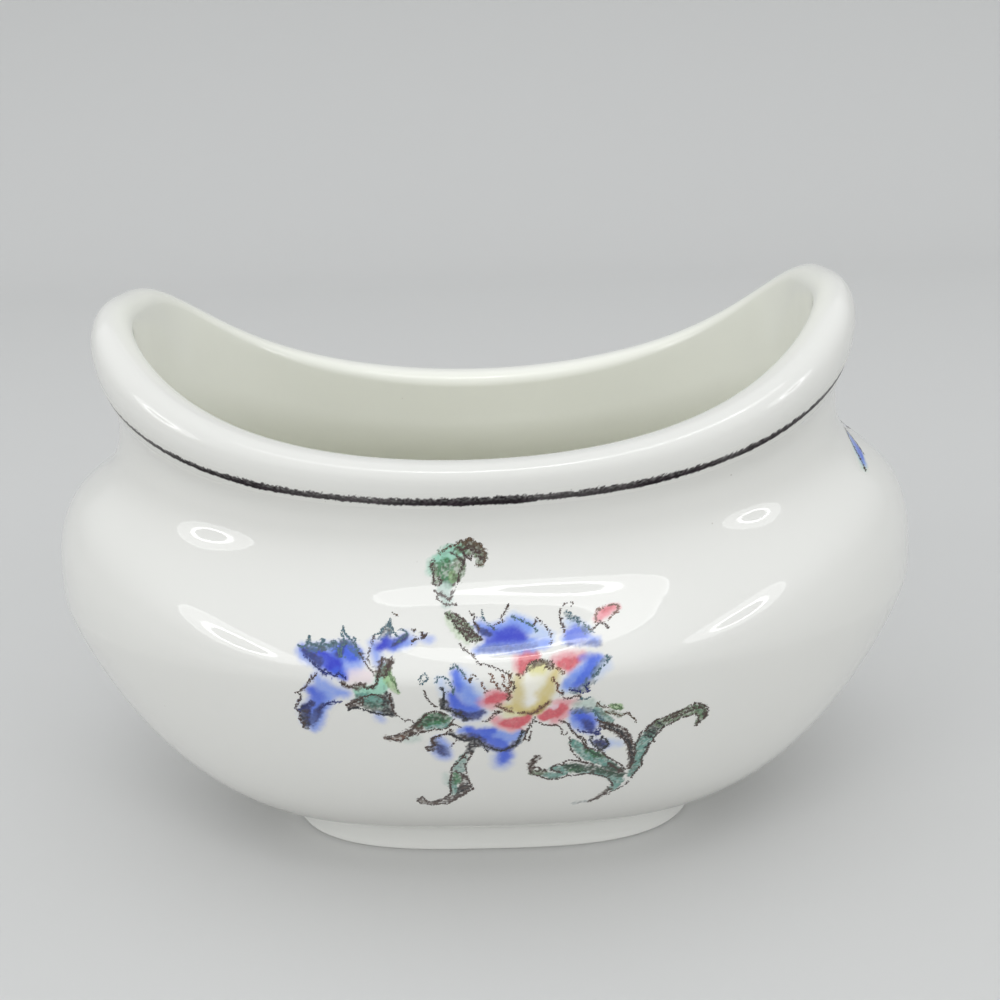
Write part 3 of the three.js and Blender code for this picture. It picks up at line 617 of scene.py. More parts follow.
# Each stroke: its enamel, strength, width of its edge, and its path as (across, up, half width) in mm
motif_strokes = {
    "side_bloom_top": [
        (sky, 0.6, 0.9, [(-19, 4.2, 0.7), (-16.2, 4.1, 1.4), (-13.8, 4.1, 1.4)]),
        (blush, 0.35, 0.8, [(-13.8, 2.2, 0.5), (-11.9, 2.3, 0.5)]),
        (blue, 0.9, 0.7, [(-15.2, 4.3, 0.5), (-15.5, 3.1, 0.7), (-14.9, 2.6, 0.4)]),
        (blue, 0.9, 0.7, [(-15.2, 4.9, 0.5), (-14.3, 5.2, 0.8), (-13.7, 4.7, 0.8)]),
        (cobalt, 1, 0.6, [(-19.1, 4.6, 0.25), (-17.7, 4.2, 0.6), (-16.7, 3.7, 0.8), (-15.5, 3.2, 0.6)]),
        (navy, 0.8, 0.4, [(-19.2, 4.6, 0.12), (-18.1, 3.9, 0.25), (-17.3, 3.5, 0.3)]),
        (navy, 0.7, 0.4, [(-15.2, 4.5, 0.2), (-14.9, 5.4, 0.2), (-14.5, 5.9, 0.2)]),
        (teal, 0.7, 0.3, [(-18.6, 4.9, 0.25), (-17.7, 5, 0.25), (-17, 5.2, 0.3), (-15.7, 5.5, 0.15)]),
        (teal, 0.6, 0.3, [(-14.7, 6, 0.3), (-14, 6, 0.35), (-13.2, 5.2, 0.2), (-12.7, 4.3, 0.1)]),
        (blue, 0.7, 0.4, [(-15.4, 2.6, 0.3), (-14.5, 2, 0.12)]),
    ],
    "side_bloom_low": [
        (sky, 0.75, 0.9, [(-17.5, 1.6, 0.4), (-17, 0.7, 0.9), (-15.8, 0.2, 0.7), (-14.6, 0.2, 0.4)]),
        (sky, 0.8, 0.8, [(-16.6, -0.8, 0.5), (-17.6, -2.2, 0.5), (-18.4, -4.4, 0.5), (-18.8, -5.5, 0.3)]),
        (blue, 0.75, 0.8, [(-18.4, 0.3, 0.4), (-17.8, -0.5, 0.7), (-18.1, -1.6, 0.7), (-18.6, -3, 0.6)]),
        (navy, 0.85, 0.5, [(-17.4, -1.9, 0.15), (-18.1, -2.8, 0.35), (-18.8, -4.1, 0.45),
            (-19.1, -4.9, 0.2)]),
        (navy, 0.9, 0.4, [(-18.7, -1.6, 0.2), (-19.5, -2.4, 0.35), (-19.6, -3.6, 0.35),
            (-19.5, -4.8, 0.3)]),
        (ink, 0.7, 0.3, [(-19.8, -2.6, 0.25), (-19.9, -3.6, 0.25), (-19.6, -4.8, 0.35),
            (-19.8, -5.4, 0.2)]),
    ],
    "side_bud": [
        (sky, 0.65, 0.8, [(-11.4, 6.1, 0.2), (-11.1, 5, 0.35), (-10.8, 4.1, 0.3), (-10.3, 3.5, 0.15)]),
        (sky, 0.75, 0.7, [(-9.2, 5.7, 0.3), (-7.9, 6.1, 0.4), (-7, 6.5, 0.2)]),
        (teal, 0.75, 0.4, [(-10.3, 6.8, 0.35), (-9.8, 7.7, 0.35), (-9.6, 8.5, 0.1)]),
        (cobalt, 0.9, 0.6, [(-10.7, 5.6, 0.25), (-9.8, 6.1, 0.6), (-9, 6.1, 0.45), (-8.1, 6.6, 0.2)]),
        (navy, 0.8, 0.3, [(-9, 6.1, 0.1), (-8.1, 6.7, 0.14), (-7.6, 7.1, 0.12)]),
        (sky, 0.45, 0.6, [(-5.9, 6.8, 0.2), (-5, 6.6, 0.3)]),
    ],
    "calyx_leaf": [
        (aqua, 0.8, 0.5, [(-9.9, 3.2, 0.25), (-10.2, 1.9, 0.6), (-10.5, 1, 0.6), (-11.6, 0.4, 0.5),
            (-13, 0.6, 0.4)]),
        (grass, 0.65, 0.4, [(-9.7, 3.2, 0.2), (-9.5, 2.1, 0.35), (-9.1, 1.3, 0.2), (-8.7, 0.7, 0.1)]),
        (sea, 0.9, 0.5, [(-13, -0.3, 0.45), (-11.8, -0.7, 0.7), (-10.6, -0.9, 0.8)]),
        (deep_green, 0.6, 0.5, [(-12.2, -1.4, 0.4), (-11.2, -1.6, 0.6), (-10.4, -1.9, 0.5)]),
        (ink, 0.95, 0.35, [(-9.8, 0.1, 0.25), (-9.9, -0.8, 0.4), (-9.8, -1.9, 0.5), (-9.5, -2.5, 0.25)]),
        (umber, 0.85, 0.35, [(-13, -0.9, 0.35), (-13.7, -1.3, 0.3), (-14.3, -2, 0.15)]),
        (umber, 0.7, 0.3, [(-9.3, 4.1, 0.15), (-9.6, 3.4, 0.2), (-10, 2.7, 0.15)]),
        (brown, 0.6, 0.3, [(-10.3, 3.9, 0.15), (-10.6, 2.9, 0.2), (-10.7, 2.3, 0.12)]),
        (brown, 0.6, 0.3, [(-14.6, 1.3, 0.1), (-13.8, 1.1, 0.18), (-12.9, 1.2, 0.2), (-12.4, 1.4, 0.12)]),
        (sky, 0.45, 0.8, [(-11.1, -2.9, 0.3), (-10.9, -3.5, 0.2)]),
    ],
    "left_leaf": [
        (mist, 0.35, 0.8, [(-8.2, -6.6, 0.4), (-7.2, -6.3, 0.4)]),
        (sea, 0.8, 0.4, [(-5.6, -4.3, 0.4), (-4.4, -4.2, 0.5), (-3.4, -3.9, 0.4)]),
        (leaf_green, 0.95, 0.4, [(-6.5, -4.1, 0.35), (-5.5, -3.4, 0.7), (-4.4, -3, 0.65),
            (-3.4, -3.2, 0.45)]),
        (deep_green, 0.55, 0.4, [(-6.8, -4.3, 0.3), (-5.8, -3.5, 0.3), (-4.2, -2.9, 0.4)]),
        (brown, 0.8, 0.35, [(-9.2, -6.3, 0.25), (-8.4, -5.9, 0.4), (-7.3, -5.1, 0.4), (-6.4, -4.8, 0.3)]),
        (sepia, 0.7, 0.3, [(-10.5, -6.3, 0.15), (-9.6, -6.6, 0.2), (-8.6, -6.3, 0.3)]),
    ],
    "blue_petal_low_left": [
        (sky, 0.6, 1, [(-4.4, -8.6, 0.8), (-4.2, -9.2, 0.7)]),
        (sky, 0.65, 0.7, [(-4.5, -6.5, 0.35), (-4, -7.3, 0.4)]),
        (navy, 0.85, 0.9, [(-4.9, -7.4, 0.3), (-4.5, -8.2, 0.55), (-4.2, -9, 0.3)]),
        (ink, 0.5, 0.4, [(-5.2, -6.4, 0.15), (-5.1, -7.3, 0.2), (-5.6, -8, 0.25)]),
    ],
    "blue_petal_left": [
        (pale, 0.5, 0.8, [(-3.7, 1.9, 0.3), (-3.5, 0.6, 0.3)]),
        (pale, 0.55, 1.2, [(-1.6, 2.5, 0.5), (-0.6, 1, 0.8), (0.3, -0.6, 0.8)]),
        (sky, 0.85, 0.8, [(-2.1, 2.9, 0.3), (-1.8, 1.8, 0.6), (-1.2, 0.4, 0.8), (-0.4, -0.9, 0.8)]),
        (blue, 0.5, 0.6, [(-2.1, 2.8, 0.2), (-2.1, 1.8, 0.25), (-1.9, 1, 0.2)]),
        (blue, 0.8, 0.7, [(-2.7, 0.1, 0.35), (-2.4, -1, 0.6), (-1.6, -2, 0.8), (-0.3, -2.2, 0.5)]),
        (navy, 0.85, 0.5, [(-2, -2.4, 0.3), (-1.1, -2.9, 0.4), (-0.2, -2.8, 0.4), (0.5, -2.4, 0.2)]),
        (ink, 0.75, 0.35, [(-3.8, -0.5, 0.25), (-3.5, -1.5, 0.3), (-2.5, -2.4, 0.22),
            (-1.4, -3.2, 0.15)]),
    ],
    "pink_petal_left": [
        (rose, 0.55, 0.8, [(0.6, -0.9, 0.4), (1.6, -1.3, 0.45), (2.4, -1.1, 0.3)]),
        (rose, 0.6, 0.5, [(1.3, 0.1, 0.35), (2.3, 0.3, 0.35), (3.4, -0.2, 0.3)]),
        (pink, 0.85, 0.5, [(1.3, -0.6, 0.35), (2.2, -0.3, 0.5), (2.9, -0.2, 0.35)]),
    ],
    "flower_heart": [
        (lemon, 0.5, 1.6, [(5, 2.3, 0.4), (6, 1.2, 1), (7.2, 0.8, 0.6)]),
        (cream, 0.85, 1.1, [(5.3, 2.6, 0.6), (6, 1.4, 1), (6.2, -0.2, 0.8), (6.3, -1.5, 0.3)]),
        (straw, 0.6, 0.7, [(4.5, -0.6, 0.6), (4.5, 0.8, 0.4), (4.6, 2.1, 0.2)]),
        (lemon, 0.8, 0.6, [(6.1, 2.9, 0.35), (7.2, 2.9, 0.5)]),
        (straw, 0.75, 0.7, [(7.4, -0.2, 0.7), (8.1, 0.6, 0.5), (8.3, 1.6, 0.4), (8.7, 2.5, 0.3)]),
        (straw, 0.9, 0.8, [(3.2, -1.7, 0.35), (4.2, -1.9, 0.7), (5.2, -2.4, 0.45), (6.4, -2.5, 0.4)]),
        (straw, 0.9, 0.6, [(6.7, -2.2, 0.5), (7.4, -1.1, 0.45)]),
        (ochre, 0.6, 0.4, [(4.8, -2.7, 0.15), (5.7, -2.9, 0.22), (6.6, -2.6, 0.2), (7.4, -1.8, 0.15),
            (8, -1.2, 0.1)]),
        (brown, 0.6, 0.35, [(5.6, 2.9, 0.2), (6.2, 3.5, 0.2), (7.4, 3.6, 0.25), (8.2, 3.4, 0.25)]),
        (sepia, 0.8, 0.3, [(2.2, -1.4, 0.2), (3, -2, 0.15), (3.7, -2.4, 0.1)]),
    ],
    "pink_petal_low_left": [
        (rose, 0.65, 0.8, [(2, -3.5, 0.4), (2.6, -4.5, 0.5), (3.6, -5.2, 0.35), (4.6, -5.1, 0.25)]),
        (lemon, 0.4, 0.5, [(3.2, -2.9, 0.35), (4.8, -3.1, 0.25)]),
        (pink, 0.9, 0.5, [(3.1, -4.1, 0.5), (4.2, -4.2, 0.7), (5.2, -3.8, 0.45), (5.6, -3.3, 0.2)]),
    ],
    "pink_petal_low_right": [
        (rose, 0.65, 0.7, [(8.4, -4.2, 0.35), (9.2, -3.7, 0.4), (10, -3, 0.3)]),
        (rose, 0.6, 0.7, [(8.8, -1.5, 0.3), (10, -1.6, 0.4), (10.9, -1.5, 0.25)]),
        (pink, 0.9, 0.5, [(7.3, -3.5, 0.45), (8.4, -2.9, 0.7), (9.3, -2.4, 0.5)]),
        (blush, 0.6, 0.4, [(8.4, -2.1, 0.15), (8.7, -2, 0.15)]),
    ],
    "pink_petal_top_left": [
        (rose, 0.5, 0.7, [(4.5, 3.2, 0.2), (4.6, 4.2, 0.4)]),
        (pink, 0.8, 0.5, [(5, 2.8, 0.2), (5.2, 3.6, 0.4), (5.6, 4.4, 0.6), (6.5, 4.4, 0.35)]),
    ],
    "pink_petal_top_right": [
        (rose, 0.6, 0.7, [(8.7, 3.7, 0.3), (9.8, 4, 0.4), (11.5, 3.9, 0.35)]),
        (rose, 0.6, 0.5, [(10.2, 2.5, 0.3)]),
        (pink, 0.8, 0.5, [(9.3, 3.2, 0.3), (10.1, 3.1, 0.5), (10.9, 3.3, 0.35)]),
    ],
    "blue_petal_right": [
        (pale, 0.5, 0.9, [(12.9, 1.7, 0.4), (14.2, 2.6, 0.35)]),
        (pale, 0.6, 0.7, [(9.7, 0.4, 0.35), (10.4, 0.4, 0.4)]),
        (sky, 0.9, 0.6, [(10.1, 0.9, 0.5), (11.2, 1.6, 0.8), (12.5, 2.7, 0.6), (13.5, 3.3, 0.35)]),
        (blue, 0.55, 0.6, [(11, 0.5, 0.4), (11.9, 1.7, 0.45), (12.8, 2.9, 0.35)]),
        (blue, 0.5, 0.5, [(11.6, 3.6, 0.2), (12.7, 3.6, 0.25), (13.5, 3.5, 0.2)]),
        (teal, 0.6, 0.35, [(10.6, -0.1, 0.25), (11.5, 0, 0.35), (12.3, 0.9, 0.2), (12.8, 1.6, 0.15)]),
        (teal, 0.45, 0.3, [(13, 1.8, 0.2), (13.5, 2.6, 0.15), (14.3, 3.2, 0.2)]),
    ],
    "blue_petal_low_right": [
        (mist, 0.6, 0.9, [(11, -1.9, 0.4), (12.4, -2, 0.5), (13.2, -2.7, 0.35)]),
        (sky, 0.75, 0.7, [(10.7, -3.4, 0.4), (10.9, -4.8, 0.5), (11.6, -5.8, 0.35)]),
        (sky, 0.6, 0.6, [(12.8, -3.8, 0.4), (13.5, -4.7, 0.3)]),
        (blue, 0.85, 0.7, [(11.3, -3.5, 0.5), (12, -4.5, 0.7), (12.4, -5.5, 0.6), (12.5, -6.2, 0.3)]),
        (navy, 0.7, 0.6, [(11.9, -4.8, 0.3), (12.3, -5.5, 0.45), (12.6, -6.3, 0.2)]),
        (teal, 0.5, 0.4, [(10.6, -2.9, 0.25), (11.6, -3, 0.3), (12.8, -2.9, 0.2)]),
        (pale, 0.55, 1, [(14.9, -8.6, 0.4), (15.8, -9, 0.3)]),
        (navy, 0.85, 0.4, [(13.3, -8.2, 0.3), (13.9, -8.7, 0.5), (14.2, -9, 0.35)]),
        (ink, 0.5, 0.3, [(13.5, -8.9, 0.25), (14, -9.2, 0.2)]),
    ],
    "blue_petal_bottom": [
        (sky, 0.5, 1.4, [(2.5, -9.6, 0.8), (2.3, -11, 0.7)]),
        (sky, 0.7, 0.6, [(-2, -5.2, 0.25), (-1.4, -4.9, 0.35)]),
        (sky, 0.85, 0.6, [(1.7, -5.7, 0.5), (2.8, -6.6, 0.8), (3.8, -6.5, 0.6), (4.5, -5.9, 0.3)]),
        (blue, 0.85, 0.5, [(-1, -5.1, 0.4), (-0.5, -5.7, 0.6), (0.6, -5.6, 0.7), (1.4, -5.3, 0.4)]),
        (blue, 0.8, 0.6, [(0.8, -6.5, 0.5), (1.8, -7.3, 0.7), (2.6, -7.8, 0.5)]),
        (navy, 0.6, 0.5, [(-1.6, -6, 0.25), (-0.4, -6.2, 0.3), (0.3, -6.9, 0.25)]),
        (blue, 0.85, 0.9, [(2.9, -8.6, 0.4), (2.8, -9.5, 0.55), (2.5, -10.4, 0.4)]),
        (ink, 0.9, 0.35, [(-3, -5.6, 0.15), (-2.2, -6.2, 0.3), (-1.2, -6.7, 0.3), (-0.3, -6.9, 0.4)]),
        (navy, 0.6, 0.4, [(0.5, -7.6, 0.25), (1.2, -8.1, 0.2), (2.4, -8.6, 0.2), (3.4, -8.2, 0.25),
            (4.2, -7.3, 0.2)]),
        (teal, 0.6, 0.4, [(4.4, -6.9, 0.2), (4.9, -5.7, 0.15)]),
    ],
    "blue_petal_top_left": [
        (pale, 0.7, 0.8, [(4.2, 9.1, 0.4), (5.6, 8.4, 0.5), (7, 7.2, 0.6), (8.2, 6.4, 0.4)]),
        (sky, 0.85, 0.7, [(0.6, 8.4, 0.25), (1.4, 7.7, 0.5), (3.3, 7.6, 0.9), (4.6, 8.5, 0.6),
            (5.6, 7.7, 0.6)]),
        (sky, 0.8, 0.6, [(0.1, 5.2, 0.2), (1.5, 5.7, 0.6), (3.6, 5.8, 0.8), (6.2, 5.7, 0.7),
            (8, 5.7, 0.3)]),
        (cobalt, 0.8, 0.7, [(1.1, 7.4, 0.3), (2.5, 7, 0.5), (4.2, 7.3, 0.7), (5.1, 6.8, 0.4)]),
        (cobalt, 0.7, 0.8, [(1.5, 6.4, 0.3), (3.3, 6.5, 0.4), (5, 6.4, 0.3)]),
        (navy, 0.35, 0.7, [(0.5, 5.4, 0.15), (2.3, 5.4, 0.2), (5, 5.4, 0.2), (6.6, 5.5, 0.15)]),
        (navy, 0.8, 0.3, [(0.1, 8.3, 0.1), (0.8, 7.5, 0.18), (1.6, 7.1, 0.12)]),
    ],
    "blue_petal_top_right": [
        (pale, 0.6, 0.7, [(10.3, 8, 0.3), (11.2, 7.7, 0.4), (12.1, 6.8, 0.3)]),
        (sky, 0.75, 0.6, [(10, 5.9, 0.3), (11.5, 5.8, 0.5), (13.3, 5.4, 0.35)]),
        (blue, 0.8, 0.6, [(10.3, 6.7, 0.25), (11.1, 6.9, 0.35), (11.9, 6.9, 0.25)]),
        (blue, 0.5, 0.7, [(10.5, 6, 0.3), (11.9, 6, 0.35)]),
        (navy, 0.35, 0.6, [(10.3, 5.4, 0.15), (12.1, 5.3, 0.2), (13.7, 5.1, 0.15)]),
        (teal, 0.6, 0.35, [(10.3, 9, 0.2), (10.7, 8.4, 0.25), (11.3, 8.1, 0.2)]),
        (teal, 0.55, 0.35, [(11.9, 7.4, 0.2), (12.3, 6.9, 0.2)]),
    ],
    "pink_bud": [
        (rose, 0.9, 0.5, [(13.6, 8, 0.25), (14.2, 8.6, 0.45), (15.2, 9.1, 0.4), (15.8, 9.1, 0.2)]),
        (pink, 0.45, 0.4, [(14.4, 9, 0.15), (15.4, 9.3, 0.12)]),
    ],
    "hooked_leaf": [
        (aqua, 0.5, 0.9, [(-5.1, 14.9, 0.2), (-5, 15.9, 0.25)]),
        (aqua, 0.85, 0.6, [(-4.2, 16.2, 0.5), (-3, 16.9, 0.8), (-1.6, 17.3, 0.6)]),
        (leaf_green, 0.95, 0.5, [(-3.3, 16, 0.4), (-3.4, 15.1, 0.9), (-3.1, 14.1, 0.9), (-3, 13.6, 0.6)]),
        (grass, 0.5, 0.4, [(-2.6, 14.7, 0.2), (-2.4, 13.8, 0.2)]),
        (moss, 0.6, 0.4, [(-4.7, 15.5, 0.2), (-4.5, 14.4, 0.25), (-4.4, 13.6, 0.35)]),
        (moss, 0.75, 0.4, [(-1.6, 17.5, 0.4), (-0.6, 17.6, 0.7), (0.3, 17.4, 0.55), (0.9, 16.6, 0.45),
            (0.7, 15.7, 0.25)]),
        (moss, 0.75, 0.4, [(-1.9, 16.2, 0.35), (-1.6, 15.5, 0.45), (-1.9, 14.7, 0.45), (-2.1, 14, 0.4)]),
        (brown, 0.6, 0.4, [(-1.2, 17.8, 0.2), (0, 17.9, 0.35), (1, 17.1, 0.3), (1, 16, 0.2)]),
        # Painted highlight: the stem is painted pale mist where a lamp's reflection crosses it
        (mist, 0.7, 0.7, [(-3.5, 12.9, 0.6), (-3.3, 11.9, 0.5), (-3.2, 11.1, 0.4)]),
        (grass, 0.3, 0.7, [(-3.1, 9.2, 0.3), (-2.1, 7.7, 0.3), (-0.9, 6.4, 0.2)]),
        (moss, 0.75, 0.35, [(-2.9, 9.7, 0.2), (-2.2, 9.1, 0.4), (-1.5, 8.3, 0.5), (-0.7, 7.3, 0.5),
            (0.1, 6.6, 0.35)]),
    ],
    "low_leaf": [
        (mist, 0.4, 0.8, [(-4.2, -12.8, 0.2), (-4.2, -14.6, 0.2)]),
        (sea, 0.55, 0.4, [(-1.8, -9.4, 0.2), (-2.4, -10.6, 0.45), (-2.6, -12, 0.5)]),
        (sea, 0.85, 0.4, [(-3.5, -14.2, 0.35), (-3.5, -15.6, 0.35), (-3.4, -16.8, 0.35)]),
        (leaf_green, 0.85, 0.4, [(-3.1, -12.8, 0.25), (-2.9, -13.6, 0.45), (-3.1, -14.4, 0.4)]),
        (ink, 0.95, 0.35, [(-0.4, -7.2, 0.4), (-1, -7.8, 0.4), (-1.3, -8.7, 0.25)]),
        (umber, 0.85, 0.3, [(-2.2, -13.1, 0.2), (-2, -14.2, 0.3), (-2.2, -15.4, 0.5), (-2.4, -16.4, 0.5),
            (-3.2, -17.5, 0.3)]),
        (umber, 0.8, 0.35, [(-3.8, -18, 0.35), (-4.7, -18.7, 0.45), (-5.7, -19.1, 0.3)]),
        (brown, 0.65, 0.35, [(-5.8, -19.1, 0.3), (-6.8, -19.2, 0.25), (-7.6, -18.9, 0.35),
            (-7.7, -18.1, 0.15)]),
    ],
    "long_leaf": [
        (sea, 0.9, 0.35, [(17.4, -15.1, 0.2), (17.8, -13.6, 0.45), (18.2, -11.6, 0.5), (18.6, -9.4, 0.7),
            (19.2, -8.1, 0.7)]),
        (deep_green, 0.6, 0.4, [(19.3, -7.9, 0.6), (20, -7, 0.7), (20.9, -6.5, 0.4)]),
        (moss, 0.8, 0.35, [(20.6, -6.4, 0.5), (22.6, -5.6, 0.5), (24, -5.2, 0.6), (25.2, -5.3, 0.7),
            (25.5, -6.4, 0.45), (25, -7.4, 0.2)]),
        (leaf_green, 0.4, 0.4, [(24.6, -4.9, 0.3), (25.4, -5.3, 0.4), (25.6, -6.2, 0.25)]),
        (sea, 0.7, 0.5, [(13.2, -3.1, 0.3), (13.8, -4.1, 0.4), (14.6, -4.9, 0.3)]),
        (umber, 0.8, 0.35, [(13.9, -5.4, 0.3), (15, -6.1, 0.4), (16, -6.9, 0.4), (16.7, -8, 0.3),
            (17.1, -9.4, 0.25)]),
        (brown, 0.65, 0.3, [(17.1, -9.2, 0.3), (17.3, -10.8, 0.3), (17.4, -12.4, 0.25),
            (17.2, -13.5, 0.12)]),
        (grass, 0.75, 0.35, [(14.9, -2.7, 0.2), (15.6, -2.9, 0.2), (15.9, -3.3, 0.1)]),
        (moss, 0.4, 0.35, [(14.5, -3.6, 0.2), (15.8, -4.3, 0.15)]),
    ],
    "lying_leaf": [
        (sea, 0.92, 0.35, [(10.6, -7.9, 0.35), (11.6, -9.6, 0.55), (13, -11, 0.65), (14.4, -12.3, 0.6),
            (15.4, -13.4, 0.4)]),
        (leaf_green, 0.85, 0.35, [(12.4, -9.7, 0.25), (13.2, -10.4, 0.35), (13.9, -10.8, 0.15)]),
        (deep_green, 0.8, 0.35, [(14.9, -12.6, 0.25), (15.8, -13.7, 0.4), (16.4, -14.7, 0.25)]),
    ],
    "scroll_leaf": [
        (sea, 0.85, 0.35, [(7.2, -13.5, 0.35), (8.2, -13.8, 0.45), (9.4, -13.5, 0.35)]),
        (sea, 0.8, 0.35, [(8.3, -12.4, 0.35), (9.2, -12.6, 0.5)]),
        (sea, 0.9, 0.35, [(11.8, -13.6, 0.15), (13.4, -13.9, 0.25), (14.8, -14.9, 0.35),
            (15.8, -15.9, 0.6), (15.7, -16.8, 0.5), (15.2, -17.8, 0.3)]),
        (deep_green, 0.92, 0.4, [(9.8, -12.2, 0.4), (10.8, -12.5, 0.7), (12.2, -12.9, 0.5),
            (13.6, -13.4, 0.45), (15, -14.1, 0.5), (16.2, -14.9, 0.3)]),
        (leaf_green, 0.4, 0.4, [(10.4, -13.2, 0.25), (11.4, -13.2, 0.2)]),
        (moss, 0.7, 0.35, [(5.8, -12.9, 0.3), (6.5, -13.2, 0.4), (7, -13, 0.3)]),
        (brown, 0.7, 0.3, [(5.6, -12.4, 0.15), (5.6, -11.4, 0.2), (6, -10.7, 0.3), (6.5, -10.2, 0.2)]),
        (umber, 0.8, 0.3, [(6, -10.9, 0.15), (6.2, -10.3, 0.25)]),
        (brown, 0.65, 0.3, [(15, -17.8, 0.2), (14.4, -18.6, 0.2), (13.6, -19.5, 0.15),
            (12.7, -20.3, 0.1)]),
        (teal, 0.3, 0.6, [(12.3, -20.2, 0.1), (10.9, -20.6, 0.2)]),
    ],
}

